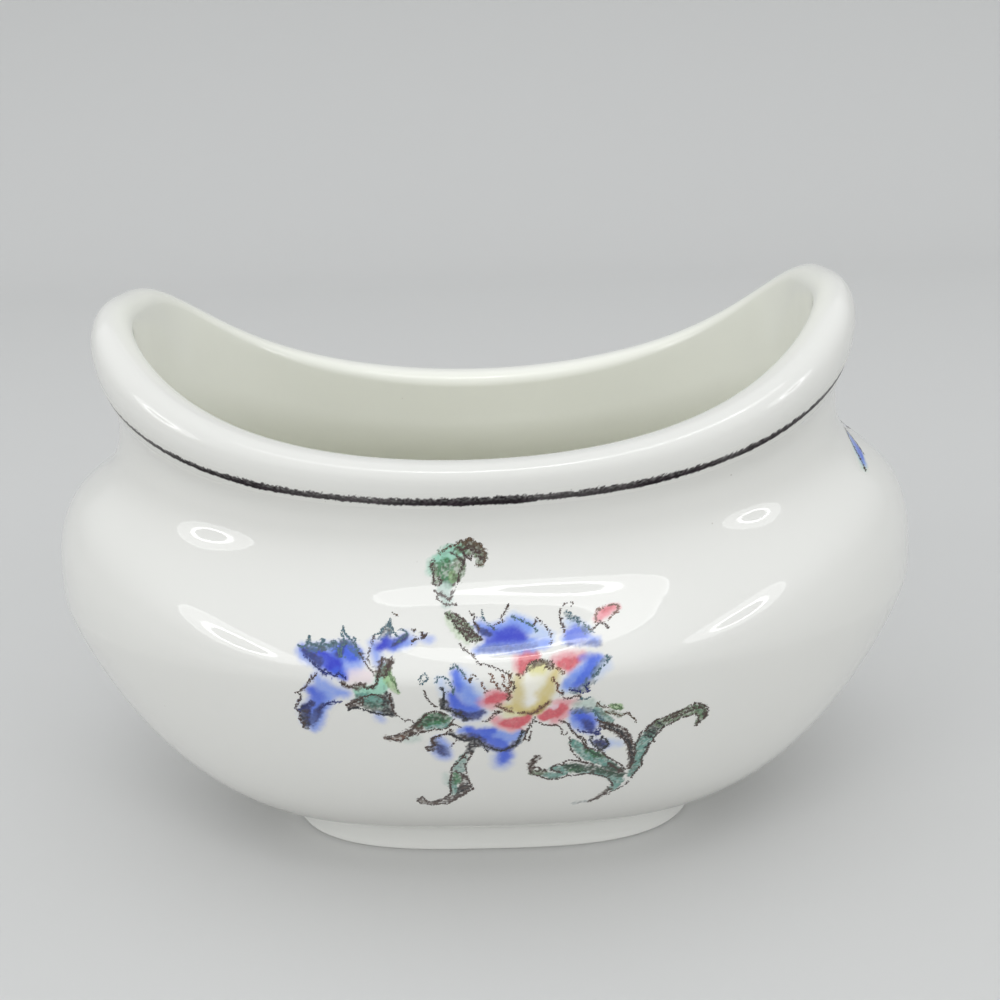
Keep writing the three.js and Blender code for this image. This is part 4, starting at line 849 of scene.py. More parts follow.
# Each drawn line: its ink, how far its dots spread, and its path as (across, up) in mm
motif_outlines = {
    "side_bloom_top": [
        (teal, 0.12, [(-19.8, 5.1), (-19.3, 4.8), (-18.7, 5.3), (-18.6, 6.4), (-18.3, 5.4), (-17.6, 5.2),
            (-17.2, 5.1), (-17, 6.2), (-16.8, 5.6), (-16.1, 5.3), (-15.8, 6), (-15.4, 5.5), (-15.2, 4.7),
            (-14.8, 4.2)]),
        (teal, 0.12, [(-15, 4.3), (-14.8, 5.4), (-14.5, 6), (-14.9, 6.9), (-14.8, 7.8), (-14.4, 6.8),
            (-13.9, 6.3), (-13.3, 6.6), (-13.4, 5.9), (-12.9, 5)]),
        (umber, 0.07, [(-12.9, 5), (-12.4, 4.1), (-12, 3.5), (-11.6, 3), (-11.2, 2.8)]),
        (navy, 0.1, [(-19, 3.9), (-18.4, 3.5), (-17.7, 3), (-17, 2.4), (-16.2, 2.3), (-15.6, 2.1),
            (-15, 2.4), (-14.3, 1.9)]),
    ],
    "side_bloom_low": [
        (umber, 0.06, [(-17.5, 2.2), (-18.1, 1.8), (-18.8, 1.1), (-19.2, 0.4), (-19.9, 0.1),
            (-20.4, -0.4)]),
        (umber, 0.12, [(-19.8, -0.3), (-19.9, -1.2), (-20.3, -1.9), (-20.7, -2.6), (-20.2, -3.2),
            (-20.4, -4.1), (-20, -4.9), (-20.2, -5.5)]),
        (navy, 0.12, [(-20.3, -2.8), (-19.6, -2.4), (-19.2, -1.9), (-18.7, -1.5)]),
        (navy, 0.1, [(-18, -2.7), (-17.3, -1.9), (-16.6, -1.3), (-15.8, -1.1), (-15, -1.1)]),
    ],
    "side_bud": [
        (umber, 0.05, [(-11.2, 7.1), (-11.4, 6.3), (-11.6, 5.7), (-11.8, 4.8), (-11.9, 4.1),
            (-11.5, 3.5)]),
        (teal, 0.12, [(-11.2, 7.1), (-10.6, 7.3), (-10.2, 8), (-9.8, 8.2), (-9.6, 9.1), (-9.4, 8.3),
            (-9.1, 7.7), (-8.8, 7)]),
        (teal, 0.07, [(-8.2, 7.9), (-7.8, 7.7), (-7.5, 7.3), (-8.1, 6.8), (-8.7, 6.2)]),
        (brown, 0.07, [(-7.1, 7.9), (-6.8, 7.7), (-6.7, 7.9)]),
        (umber, 0.1, [(-6.1, 7.6), (-5.8, 7.1), (-5.4, 7.3), (-5.9, 6.8), (-6.5, 6.8), (-6.9, 6.5),
            (-7, 6.2)]),
        (brown, 0.07, [(-9.2, 9.8), (-8.7, 9.5)]),
    ],
    "calyx_leaf": [
        (umber, 0.12, [(-9.2, 4.3), (-9.4, 3.8), (-9.7, 3.2), (-9.9, 2.4)]),
        (umber, 0.1, [(-10.2, 4.4), (-10.3, 3.6), (-10.6, 2.9), (-10.7, 2.3), (-10.9, 1.7), (-11.4, 1.1),
            (-12, 0.9), (-12.4, 1.3), (-12.7, 1.6), (-13.3, 1.2), (-14, 1.1), (-14.9, 1.4)]),
        (moss, 0.06, [(-9.5, 2.8), (-9.1, 2.1), (-8.8, 1.5), (-8.5, 0.6)]),
        (umber, 0.07, [(-9.4, 0.4), (-9.6, -0.4), (-9.4, -1.4), (-9.3, -2.2), (-9, -2.7), (-8.6, -3.1),
            (-8.2, -3.6), (-7.7, -3.3), (-7.3, -3.6), (-7.1, -4)]),
        (ink, 0.1, [(-9.4, -2.6), (-10.4, -2.7), (-11.3, -2.5), (-12.2, -2.2), (-13, -1.9), (-13.6, -1.8),
            (-14.4, -2.2)]),
        (umber, 0.12, [(-14.6, -1.5), (-13.8, -1.1), (-13.2, -0.6), (-12.4, -0.2), (-11.6, 0.2),
            (-10.8, 0.1), (-10.2, -0.3)]),
    ],
    "left_leaf": [
        (umber, 0.15, [(-10.6, -6.2), (-9.8, -6.7), (-9, -6.8), (-8.2, -6.3), (-7.6, -5.7), (-6.4, -5.3),
            (-5.8, -5.2), (-5.2, -4.9)]),
        (umber, 0.12, [(-10.2, -6.1), (-9.2, -5.8), (-8.5, -5.4), (-7.5, -4.9), (-7, -4.2), (-6.4, -3.4),
            (-6, -2.8), (-5.4, -2.3), (-4.8, -2.1), (-4.1, -2.3), (-3.5, -2.6)]),
        (umber, 0.08, [(-5, -4.8), (-4.2, -4.9), (-3.4, -4.5), (-3.1, -4), (-2.6, -3.3)]),
        (umber, 0.07, [(-3.2, -3.9), (-2.4, -4.3), (-1.8, -4.7)]),
    ],
    "blue_petal_left": [
        (teal, 0.1, [(-2.8, 3.2), (-2.2, 3.7), (-1.6, 3), (-1.2, 2.5)]),
        (brown, 0.06, [(-1.2, 2.2), (-0.6, 1.9), (-0.3, 2.5), (0.1, 2.4)]),
        (teal, 0.07, [(-4.3, 1.9), (-4.1, 2.3), (-3.5, 2.4), (-3, 2.1), (-2.6, 1.2), (-2.5, 0.4)]),
        (teal, 0.13, [(-6.2, 2), (-5.9, 2.5), (-5.4, 2.7), (-5.2, 2.2), (-5.6, 1.8), (-6.1, 1.6)]),
        (umber, 0.06, [(-5.7, 0.9), (-5.6, 0.1), (-5.2, -0.7), (-4.7, -1.3), (-4.2, -1.4)]),
        (ink, 0.12, [(-3.9, 1.2), (-3.4, 0.6), (-3.7, -0.2), (-3.6, -0.9), (-3.9, -1.6), (-3.1, -1.8),
            (-2.4, -2.4), (-1.6, -2.9), (-1.2, -3.3)]),
    ],
    "blue_petal_low_left": [
        (umber, 0.13, [(-3.2, -4.9), (-3.8, -5.6), (-4.6, -6), (-5.3, -6.2), (-5.4, -6.9), (-5, -7.4),
            (-5.5, -7.7), (-6.2, -7.9), (-5.8, -8.4), (-5.3, -8.2)]),
        (umber, 0.05, [(-3.1, -5.7), (-2.5, -6.4), (-2.9, -7.1), (-3.4, -7.8)]),
    ],
    "blue_petal_bottom": [
        (ink, 0.12, [(-3.4, -5.6), (-2.7, -5.9), (-2.2, -6.5), (-1.6, -6.8), (-1, -6.6), (-0.3, -6.5),
            (0.2, -7.2), (0.5, -7.8), (1.1, -8), (1.9, -8.5), (2.4, -8.7), (3.2, -8.3), (4, -7.7),
            (4.4, -6.9), (4.7, -6), (4.9, -5.4)]),
        (ink, 0.1, [(0.5, -8.2), (0.9, -8.7)]),
        (umber, 0.1, [(5.9, -4.7), (5.4, -5.3), (5.2, -6.2), (5, -6.9), (5.5, -7.1), (5.7, -6.4),
            (5.8, -5.6)]),
    ],
    "flower_heart": [
        (brown, 0.14, [(5.5, 2.7), (5.7, 3.3), (6.2, 3.6), (6.9, 3.8), (7.6, 3.7), (8.2, 3.6), (8.5, 3.1),
            (8, 2.8), (7.6, 3.1)]),
        (sepia, 0.12, [(8.7, 2.8), (9.2, 2.7), (9.5, 2.4), (9.2, 2.1)]),
        (sepia, 0.1, [(8.4, 1.8), (8.6, 1.3), (8.9, 0.9), (8.8, 0.3), (9.2, -0.2)]),
        (umber, 0.08, [(9.4, 0.1), (9.3, -0.5), (9.7, -1), (10.3, -1), (10.9, -0.7), (11.3, -0.9)]),
        (sepia, 0.1, [(4.4, -2.7), (5.2, -2.6), (5.8, -2.9), (6.5, -2.6), (7.2, -1.9), (7.9, -1.2)]),
        (sepia, 0.1, [(2.1, -1.4), (2.6, -1.8), (3.2, -2.1), (3.8, -2.5)]),
        (umber, 0.06, [(1.9, -2.2), (2.6, -2.4), (1.8, -2.6), (1.4, -3.2), (1, -3.8), (0.5, -3.7)]),
        (sepia, 0.15, [(3.7, 2.6), (3.6, 1.9), (3.9, 1.4), (3.5, 0.9), (3.8, 0.3), (3.6, 0),
            (3.4, -0.7)]),
        (sepia, 0.12, [(2.8, 2.5), (3.1, 2.1), (2.9, 1.5), (3.3, 0.9), (3.2, 0.4)]),
        (sepia, 0.12, [(1.5, 2.7), (1.9, 2.3), (1.7, 1.8), (2.3, 1.6), (2.2, 1), (2.7, 0.8)]),
        (sepia, 0.08, [(0.6, 1.6), (0.9, 1), (1.2, 0.6), (0.9, 0.4)]),
        (umber, 0.08, [(0.1, 3.8), (0.9, 3.7), (1.8, 3.4), (2.7, 3), (3.3, 2.7), (3.8, 2.2), (4.1, 1.6),
            (4.1, 0.8)]),
        (sepia, 0.08, [(4.5, 2.4), (4.8, 2.2)]),
    ],
    "pink_petal_low_left": [
        (umber, 0.18, [(6.2, -3.5), (6, -4.1), (5.7, -4.6)]),
    ],
    "pink_petal_low_right": [
        (umber, 0.06, [(6.3, -4), (7, -4.5), (7.9, -4.9), (8.6, -4.9), (9.1, -5.2), (9.3, -5.8),
            (9.2, -6.4), (9.6, -6.6), (9.9, -6.2)]),
    ],
    "blue_petal_low_right": [
        (umber, 0.1, [(9.2, -4.3), (9.9, -4.7), (10.2, -5.3), (10.4, -6), (10.9, -6.8), (11.5, -7.1),
            (11.9, -7.7), (12, -8.5), (12.2, -9.2)]),
        (ink, 0.12, [(12.7, -7.2), (12.6, -8), (12.9, -8.8), (13.4, -9.4), (13.9, -9.6), (14.4, -9.2),
            (14.6, -8.6), (14.3, -7.9), (13.9, -7.5), (13.6, -7.9)]),
        (navy, 0.12, [(13, -6.9), (13.4, -7), (13.6, -6.2), (13.5, -5.8)]),
        (navy, 0.1, [(11, -5.9), (11.4, -6.3), (12, -6.4), (12.8, -6.7), (13.3, -6.4)]),
    ],
    "blue_petal_right": [
        (teal, 0.08, [(14.2, 3.5), (14.7, 3.3), (14.2, 2.8), (13.8, 2.4), (13.3, 2), (13, 1.6)]),
        (navy, 0.1, [(12.3, 0.9), (11.9, 0.5), (12.4, -0.2), (11.7, -0.4), (11.2, -0.2), (10.6, 0.1),
            (10.1, 0.2)]),
        (teal, 0.06, [(12.5, -1.1), (11.9, -1.4), (11.3, -1.1)]),
    ],
    "blue_petal_top_left": [
        (umber, 0.08, [(-0.7, 10.1), (-0.4, 9.5), (-0.2, 9.8), (-0.1, 9.2), (-0.2, 8.7), (0.2, 8.3),
            (0.5, 7.7)]),
        (teal, 0.06, [(0.8, 10.1), (0.8, 9.4), (1, 8.9), (1.4, 8.5), (1.8, 8.1), (2.2, 7.8)]),
        (umber, 0.06, [(2, 7.8), (2.1, 8.3), (2.6, 8.5), (3.1, 8.6), (2.9, 9.2), (3.2, 9.6), (3.5, 10.1),
            (3.7, 10.7), (3.7, 10)]),
        (teal, 0.06, [(4.1, 9.3), (4.7, 8.9), (5.4, 8.5), (5.9, 8.2), (6.4, 7.8), (6.9, 7.3)]),
        (umber, 0.05, [(6.5, 7.7), (6.7, 8.5), (6.8, 9.1), (7, 8.6), (7.6, 8), (8, 7.4), (8.4, 6.7),
            (8.4, 6), (8.3, 5.5)]),
    ],
    "blue_petal_top_right": [
        (umber, 0.06, [(9.8, 6.6), (9.8, 7.1), (9.5, 7.9), (9.4, 8.8), (9.5, 9.6), (9.9, 10.3),
            (10.2, 10.2), (10.7, 10.5), (11, 10.3), (10.8, 9.9)]),
        (teal, 0.12, [(10.2, 9.3), (10.7, 9.1), (10.4, 8.6), (10.9, 8.4), (11.4, 8.4), (11.3, 8),
            (11.9, 7.9), (12.2, 7.4), (12.5, 6.9), (12.9, 6.6)]),
    ],
    "pink_bud": [
        (sepia, 0.09, [(13.4, 7.6), (13.4, 8.5), (13.8, 9.1), (14.5, 9.4), (15.2, 9.5), (15.8, 9.5),
            (16, 9.2), (15.9, 8.7), (15.5, 8.4), (15.1, 8), (14.8, 7.7)]),
        (umber, 0.12, [(12.5, 6.8), (13, 6.9), (13.5, 7.3), (13.8, 7.7), (14.1, 7.3), (14.5, 7.2),
            (14.7, 6.7)]),
    ],
    "hooked_leaf": [
        (brown, 0.2, [(-2.9, 17.7), (-2.2, 17.9), (-1.7, 18.3), (-1, 18.3), (-0.5, 18.7), (0, 18.2),
            (0.5, 17.9), (1, 17.4), (1.3, 16.9), (1.2, 16.2), (1, 15.7), (0.5, 15.5), (0.2, 15.6)]),
        (umber, 0.28, [(-2, 17.5), (-1.3, 17.4), (-0.7, 17.6), (-0.1, 17.2), (0.4, 17), (0.7, 16.5),
            (1.1, 16.1)]),
        (umber, 0.18, [(-1.3, 17), (-0.9, 16.4), (-0.5, 16.3), (-0.2, 16.8)]),
        (umber, 0.14, [(-2.6, 17.1), (-2, 16.6), (-1.6, 16.2), (-1.2, 15.8), (-1.6, 15.3), (-1.5, 15.1),
            (-1.8, 14.6), (-1.9, 14), (-2, 13.5), (-2.5, 13.3)]),
        (umber, 0.13, [(-4.7, 16.2), (-5, 15.6), (-4.8, 15.1), (-4.8, 14.4), (-4.6, 13.8), (-4.8, 13.4),
            (-4.4, 13.2), (-4, 13.3), (-3.9, 13.8), (-4.3, 14.3)]),
        (brown, 0.07, [(-4, 17.2), (-3.4, 17.4), (-3, 17.7)]),
        (umber, 0.13, [(-4.5, 12.5), (-4.1, 12.2), (-4.3, 11.7), (-3.9, 11.3), (-3.5, 11), (-2.8, 10.9),
            (-2.1, 10.9)]),
        (umber, 0.15, [(-4, 12.3), (-3.4, 11.9), (-3, 11.4), (-2.6, 12), (-2.7, 12.4), (-2.4, 12.5)]),
        (umber, 0.12, [(-3.4, 9.9), (-2.8, 9.5), (-2.5, 8.8), (-2, 8.1), (-1.4, 7.3), (-0.9, 6.6),
            (-0.4, 6.4), (0.2, 6.5), (0.6, 6.6)]),
        (umber, 0.15, [(-2.5, 9.8), (-1.9, 9.5), (-1.3, 8.9), (-0.9, 8.3), (-0.4, 7.6), (0.1, 7.1),
            (0.5, 6.8)]),
        (umber, 0.3, [(-2.2, 9.2), (-1.6, 8.4), (-1, 7.6), (-0.4, 7)]),
        (umber, 0.1, [(-1.7, 6), (-1.3, 5.4), (-0.9, 5.3), (-0.5, 4.9), (-0.1, 4.5), (0.2, 4.1)]),
    ],
    "low_leaf": [
        (umber, 0.1, [(-1.9, -9), (-2.1, -9.6), (-2.6, -10.3), (-3.1, -11), (-3.5, -11.6), (-3.5, -12.4),
            (-3.6, -13.2), (-3.8, -14), (-3.9, -15), (-3.9, -16), (-3.9, -16.8), (-4.3, -17.4),
            (-4.9, -18.1)]),
        (umber, 0.07, [(-1, -9), (-1.3, -9.8), (-1.7, -10.7), (-1.9, -11.4), (-1.8, -12.1),
            (-1.8, -12.7)]),
        (umber, 0.16, [(-3.1, -12.2), (-2.6, -12.6), (-2.2, -13), (-1.9, -13.6), (-1.6, -14.2),
            (-1.5, -14.9), (-1.4, -15.4), (-1.3, -16), (-2, -16.5), (-2.2, -17), (-2.7, -17.4),
            (-3.2, -17.8), (-3.6, -18.4), (-4.1, -18.9), (-4.5, -19.4)]),
        (umber, 0.13, [(-4.9, -18.2), (-5.6, -18.6), (-6.4, -18.9), (-7, -18.8), (-7.1, -18.3),
            (-7.5, -17.6), (-7.7, -18.1), (-8.1, -18.6), (-7.9, -19.2), (-7.2, -19.5), (-6.3, -19.7),
            (-5.5, -19.4), (-4.6, -19.4)]),
        (umber, 0.14, [(-2, -9.2), (-1.8, -9.7), (-2.2, -9.5)]),
        (ink, 0.15, [(-3, -15.8), (-2.1, -15.1), (-1.8, -14.6)]),
        (ink, 0.15, [(-3.1, -16.8), (-2.2, -16), (-1.7, -15.7)]),
    ],
    "long_leaf": [
        (umber, 0.12, [(17.2, -13.8), (17.5, -12.6), (17.7, -11.2), (17.7, -10), (18, -8.9), (18.2, -8),
            (18.3, -7.4), (18.9, -7.3), (19.1, -6.7), (19.6, -6.3), (20, -5.8), (20.8, -5.7),
            (21.5, -5.4), (22.3, -5.2), (22.9, -4.9), (23.8, -4.7), (24.4, -4.3), (24.6, -4), (25, -4.4),
            (25.7, -4.8), (26.1, -5.4), (26.1, -6.2), (25.8, -6.8), (25.3, -7.3), (25, -7.8),
            (24.6, -7.8)]),
        (umber, 0.1, [(17.5, -15.8), (17.8, -14.9), (18.2, -14.1), (18.7, -13.2), (18.5, -12.4),
            (18.8, -11.6), (19.1, -10.8), (19.3, -10.1), (19.6, -9.4), (20, -9.4), (19.8, -8.8),
            (20.2, -8.1), (20.6, -7.6), (21, -7), (21.7, -6.8), (22.3, -6.4), (23, -6.1), (24, -6),
            (24.6, -5.8), (25, -6.3), (25.1, -6.9), (24.9, -7.4)]),
        (ink, 0.1, [(19.2, -7.4), (20.2, -8.2)]),
        (ink, 0.1, [(18.8, -8), (19.8, -8.7)]),
        (ink, 0.1, [(19.6, -6.9), (20.6, -7.4)]),
        (ink, 0.1, [(20.2, -6.1), (21, -6.9)]),
        (ink, 0.1, [(19.4, -9.4), (19, -10.3)]),
        (umber, 0.3, [(21, -6.2), (22, -5.8), (23, -5.5), (24, -5.1), (24.8, -5)]),
        (umber, 0.2, [(24.8, -4.6), (25.5, -5.2), (25.9, -6), (25.7, -6.8)]),
        (umber, 0.13, [(13, -4.4), (13.6, -4.9), (14.2, -5.2), (15, -5.6), (15.8, -6.1), (16.5, -6.6),
            (16.8, -7.4), (17.2, -8.3), (17.5, -9.2), (17.8, -9.7)]),
        (umber, 0.13, [(13.7, -5.6), (14.4, -6.2), (15.2, -6.7), (15.9, -7.3), (16.3, -8.2), (16.8, -9.1),
            (17, -10), (17.2, -11), (17.3, -12), (17.4, -12.8), (17.3, -13.3)]),
        (ink, 0.3, [(13.9, -5.6), (15, -6.2), (15.9, -6.8), (16.4, -7.8), (17, -8.8), (17.2, -10),
            (17.4, -11), (17.5, -12.6)]),
        (brown, 0.06, [(13.2, -2), (13.6, -2.6), (14.2, -2.8), (14.6, -2.9)]),
        (teal, 0.1, [(12.8, -3), (13.3, -4), (13.9, -4.8)]),
        (moss, 0.1, [(14.6, -2.5), (15.2, -2.5), (15.7, -2.9), (16, -3.3), (15.5, -3.3), (15, -3)]),
        (brown, 0.1, [(14.2, -3.5), (14.8, -3.9), (15.4, -4.1), (16.1, -4.4), (16.6, -4), (17, -4.4),
            (17.4, -5), (17.7, -5.7)]),
    ],
    "lying_leaf": [
        (umber, 0.08, [(10.1, -7), (10.2, -7.6), (10.1, -8.4), (10.3, -9.2), (10.7, -10), (11.1, -10.7),
            (11.5, -11.3), (12.1, -11.8), (12.9, -12.2)]),
        (umber, 0.1, [(11, -7), (11.6, -7.6), (11.8, -8.4), (12, -9.2), (12.5, -9.3), (13.2, -9.6),
            (13.9, -10), (14.3, -10.8), (15, -11.6), (15.7, -12.3), (16.3, -13.1), (16.7, -13.9),
            (16.4, -14.4), (16, -13.6)]),
        (deep_green, 0.1, [(12.3, -9.5), (13, -10.4), (13.8, -10.8), (13.2, -10.1)]),
        (umber, 0.15, [(14.7, -12.2), (15.2, -12.9), (15.8, -13.6), (16.1, -14.2)]),
    ],
    "scroll_leaf": [
        (umber, 0.1, [(6.7, -9.8), (6.2, -10.1), (5.8, -10.6), (6.2, -10.9), (5.7, -11.4), (5.5, -12.1),
            (5.6, -12.9), (6, -13.4), (6.7, -13.8), (7.2, -14.2), (7.9, -14.6), (8.8, -14.6),
            (9.4, -14.3), (9.9, -14), (10.7, -14.1), (11.3, -14), (12.2, -13.9), (13, -14.1),
            (13.8, -14.6), (14.5, -15.1), (14.9, -15.7), (15.2, -16.4), (15.3, -17.1)]),
        (umber, 0.1, [(5.8, -12.2), (6.4, -11.9), (6.8, -12.3), (6.5, -12.8), (6.1, -12.6)]),
        (umber, 0.08, [(6.9, -13.1), (7.2, -12.4), (7.3, -12.9)]),
        (umber, 0.1, [(9.3, -13.5), (8.6, -13.1), (8.1, -12.7), (7.9, -12.4), (8.3, -11.9), (8.9, -11.6),
            (9.4, -11.8), (9.5, -11.3), (10, -11), (10.8, -11.2), (11.5, -11.4), (12.2, -11.9)]),
        (umber, 0.06, [(17.2, -16.3), (17, -17), (16.4, -17.6), (15.7, -18.1), (15, -18.4), (14.9, -19),
            (14.3, -19)]),
        (umber, 0.12, [(14.8, -17.2), (14.9, -18), (14.4, -18.6), (13.8, -19.3), (13.2, -19.9),
            (12.6, -20.4)]),
        (deep_green, 0.2, [(9.6, -12), (10.4, -12.2), (11.2, -12.7), (11, -13.4), (11.6, -13.3)]),
        (deep_green, 0.15, [(13.5, -13.2), (14.5, -14), (15.4, -14.4), (16.4, -15)]),
    ],
}

profile_ts = np.linspace(0, 2, profile_steps + 1)
profile = np.array([outer(t) for t in profile_ts])
profile_run = np.concatenate([[0], np.cumsum(np.hypot(np.diff(profile[:, 1]), np.diff(profile[:, 2])))])
profile_run -= np.interp(1, profile_ts, profile_run)


def side_wall(x, up):
    """Points in metres on the front of the wall, by x and by the way up it from the spray's middle."""
    a, b, z, rise, n = (np.interp(up - spray_drop, profile_run, part) for part in profile.T)
    share = np.minimum(np.abs(x) / a, nearly_end)
    return np.stack([x, -b * (1 - share ** n) ** (1 / n), z + rise * rise_share(share)], -1) * MM


def outward(wall, x, up, step=0.05):
    """The outward direction of a wall at each point."""
    across = wall(x + step, up) - wall(x - step, up)
    climb = wall(x, up + step) - wall(x, up - step)
    out = np.cross(across, climb)
    return out / np.linalg.norm(out, axis=-1, keepdims=True)


def past_edge(path, x, up):
    """How far each point lies past the edge of a brush stroke, below zero inside it."""
    best = np.full(x.shape, np.inf)
    ends = path if len(path) > 1 else path * 2
    for (x0, up0, half0), (x1, up1, half1) in zip(ends, ends[1:]):
        along, climb = x1 - x0, up1 - up0
        share = ((x - x0) * along + (up - up0) * climb) / max(along ** 2 + climb ** 2, 1e-9)
        share = np.clip(share, 0, 1)
        gap = np.hypot(x - x0 - share * along, up - up0 - share * climb)
        best = np.minimum(best, gap - half0 - (half1 - half0) * share)
    return best


def paint(motifs, drawn, x, up):
    """The fired colour and cover of all strokes on a flat grid, and how far past each motif it lies.

    The drawn lines come last, as broken dark grains, with the print's own dots over them.
    """
    waver_x, waver_up = mottle(x, up, waver_across, 0.5), mottle(x, up, waver_up_down, 0.5)
    slant = x * slant_along + up * slant_across, up * slant_along - x * slant_across
    hatching = slant_share * grain(*slant, slant_size, 7) + mottle(x, up, hatch_layers)
    hatching = ramp(hatching, hatch_from, hatch_slope)
    ragged = mottle(x, up, ragged_layers, 0.5)
    gaps = ramp(mottle(x, up, gap_layers), gap_from, gap_slope)
    printed = ramp(mottle(x, up, drawn_layers), drawn_from, drawn_slope)
    thickness = 1 - thin_grain * ramp(grain(x, up, thin_grain_size, 5), 0.5, thin_grain_slope)
    thickness -= thin_cloud * (grain(x, up, thin_cloud_size, 6) - thin_cloud_middle)
    colour, cover, rims = np.zeros((*x.shape, 3)), np.zeros(x.shape), {}

    def near(path):
        low = np.array(path)[:, :2].min(0) - stroke_margin
        high = np.array(path)[:, :2].max(0) + stroke_margin
        rows = slice(*np.searchsorted(up[:, 0], (low[1], high[1])))
        return rows, slice(*np.searchsorted(x[0], (low[0], high[0])))

    def lay(part, tint, share):
        share = np.clip(share, 0, 1)
        colour[part] = colour[part] * (1 - share[..., None]) + tint * share[..., None]
        cover[part] = cover[part] * (1 - share) + share

    for motif, strokes in motifs.items():
        rim = rims[motif] = np.full(x.shape, stroke_margin)
        for (tint, softness, bleeds, grit), strength, width, path in strokes:
            part = near(path)
            bled = bleeds and strength > bleed_from
            edge = width * softness
            reach = brush_spread + edge / 2
            if bled:
                reach = max(reach, bleed_start + bleed_width / 2)
            rim[part] = np.minimum(rim[part], past_edge(path, x[part], up[part]) - reach)
            past = past_edge(path, x[part] + waver_x[part], up[part] + waver_up[part])
            if bled:
                drift = np.clip(0.5 - (past - bleed_start) / bleed_width, 0, 1) ** bleed_power
                lay(part, sky[0], drift * bleed_strength)
            past = past - brush_spread + grit * ragged[part]
            share = fade(past, edge * (1 - grit_crispness * grit)) * (1 - (1 - strength) ** strength_power)
            share = share * thickness[part] * (1 - gap_cover * grit ** 2 * gaps[part])
            lay(part, tint, share)
            lay(part, umber[0], hatch_cover * grit * hatching[part] * share)
    for (tint, *_), spread, path in drawn:
        part = near(path)
        thick = [(*point, drawn_least + drawn_share * spread) for point in path]
        past = past_edge(thick, x[part] + waver_x[part], up[part] + waver_up[part])
        lay(part, tint, fade(past + ragged[part], drawn_edge) * printed[part])
    return colour / np.maximum(cover, 1e-6)[..., None], cover, rims


def whole_cells(kept):
    """Drops cells that touch the rest of their layer only at a corner."""
    kept = kept.copy()
    while True:
        a, b, c, d = kept[:-1, :-1], kept[:-1, 1:], kept[1:, :-1], kept[1:, 1:]
        falling, climbing = a & d & ~b & ~c, b & c & ~a & ~d
        if not (falling.any() or climbing.any()):
            return kept
        kept[:-1, :-1] &= ~falling
        kept[:-1, 1:] &= ~climbing


def lay_enamels(side, motifs, drawn, wall, left, right, low, high):
    """One thin layer of fired enamel for each motif, on the part of the wall that its strokes reach."""
    x, up = np.meshgrid(np.arange(left, right, enamel_cell), np.arange(low, high, enamel_cell))
    colour, cover, rims = paint(motifs, drawn, x, up)
    points, out = wall(x, up), outward(wall, x, up)
    top, bottom = points + out * layer_top * MM, points + out * layer_bottom * MM
    middles = np.array([rim[:-1, :-1] + rim[1:, :-1] + rim[:-1, 1:] + rim[1:, 1:] for rim in rims.values()])
    nearest = middles.argmin(0)
    pieces = {}
    for k, motif in enumerate(motifs):
        kept = whole_cells((nearest == k) & (middles[k] < 0))
        pieces[motif] = layer(f"{side}_{motif}_enamel", top, bottom, colour, cover, kept)
    return pieces


def family(motif):
    """The material slot of a motif's enamel, by its colour."""
    if motif == "flower_heart":
        return "yellow_enamel"
    if motif.startswith("pink"):
        return "pink_enamel"
    return "green_enamel" if "leaf" in motif else "blue_enamel"


families = ("blue_enamel", "pink_enamel", "yellow_enamel", "green_enamel")
fired_glaze = {name: glaze(name, glaze_white, cloud_and_shade_grey, painted=True) for name in families}


def fire(piece, side, motif):
    """Gives a layer of enamel its material, and puts it in the place of its CAD node."""
    piece.data.materials.clear()
    piece.data.materials.append(fired_glaze[family(motif)])
    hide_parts(f"{side}_{motif}")
    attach(piece, "root")


all_outlines = [line for lines in motif_outlines.values() for line in lines]
front_enamels = lay_enamels("front", motif_strokes, all_outlines, side_wall,
                            spray_left, spray_right, spray_low, spray_high)
for motif, piece in front_enamels.items():
    fire(piece, "front", motif)


# The printed outline
# Fine dots of ceramic ink, dark brown with some blue-green and navy, scattered along the drawn lines.
# It is printed first and fired with the enamels, and its grains still stand out under a glass.
dot_spacing = 0.08
dot_height, dot_sink = 0.03, 0.05
dot_least, dot_largest = 0.04, 0.105
dot_sides = 5
kept_dots = 0.55
second_row, third_row, fourth_row = 0.06, 0.1, 0.2
drift_scale, drift_detail, drift_reach = 3.0, 1.0, 5.0
dot_shake = 0.1
ink_least, ink_most = 0.5, 1.5


def live(node):
    """The output that a node shows for its kind of data."""
    return next(output for output in node.outputs if output.enabled)


def chance(tree, kind, seed, **limits):
    """A random value for each dot, from a fixed seed; each limit is a link or a constant."""
    node = tree.nodes.new("FunctionNodeRandomValue")
    node.data_type = kind
    node.inputs["Seed"].default_value = seed
    for key, value in limits.items():
        if isinstance(value, bpy.types.NodeSocket):
            tree.links.new(value, node.inputs[key])
        else:
            node.inputs[key].default_value = value
    return live(node)


def drawn_value(tree, name, kind="FLOAT"):
    """An attribute of the flat drawing."""
    node = tree.nodes.new("GeometryNodeInputNamedAttribute")
    node.data_type = kind
    node.inputs["Name"].default_value = name
    return live(node)


def vectors(tree, operation, first, second=None):
    """One step of vector maths; the second value, where there is one, is a link or a constant."""
    node = tree.nodes.new("ShaderNodeVectorMath")
    node.operation = operation
    tree.links.new(first, node.inputs[0])
    if isinstance(second, bpy.types.NodeSocket):
        tree.links.new(second, node.inputs["Scale" if operation == "SCALE" else 1])
    elif second is not None:
        node.inputs[1].default_value = second
    return node.outputs["Value" if operation == "LENGTH" else "Vector"]


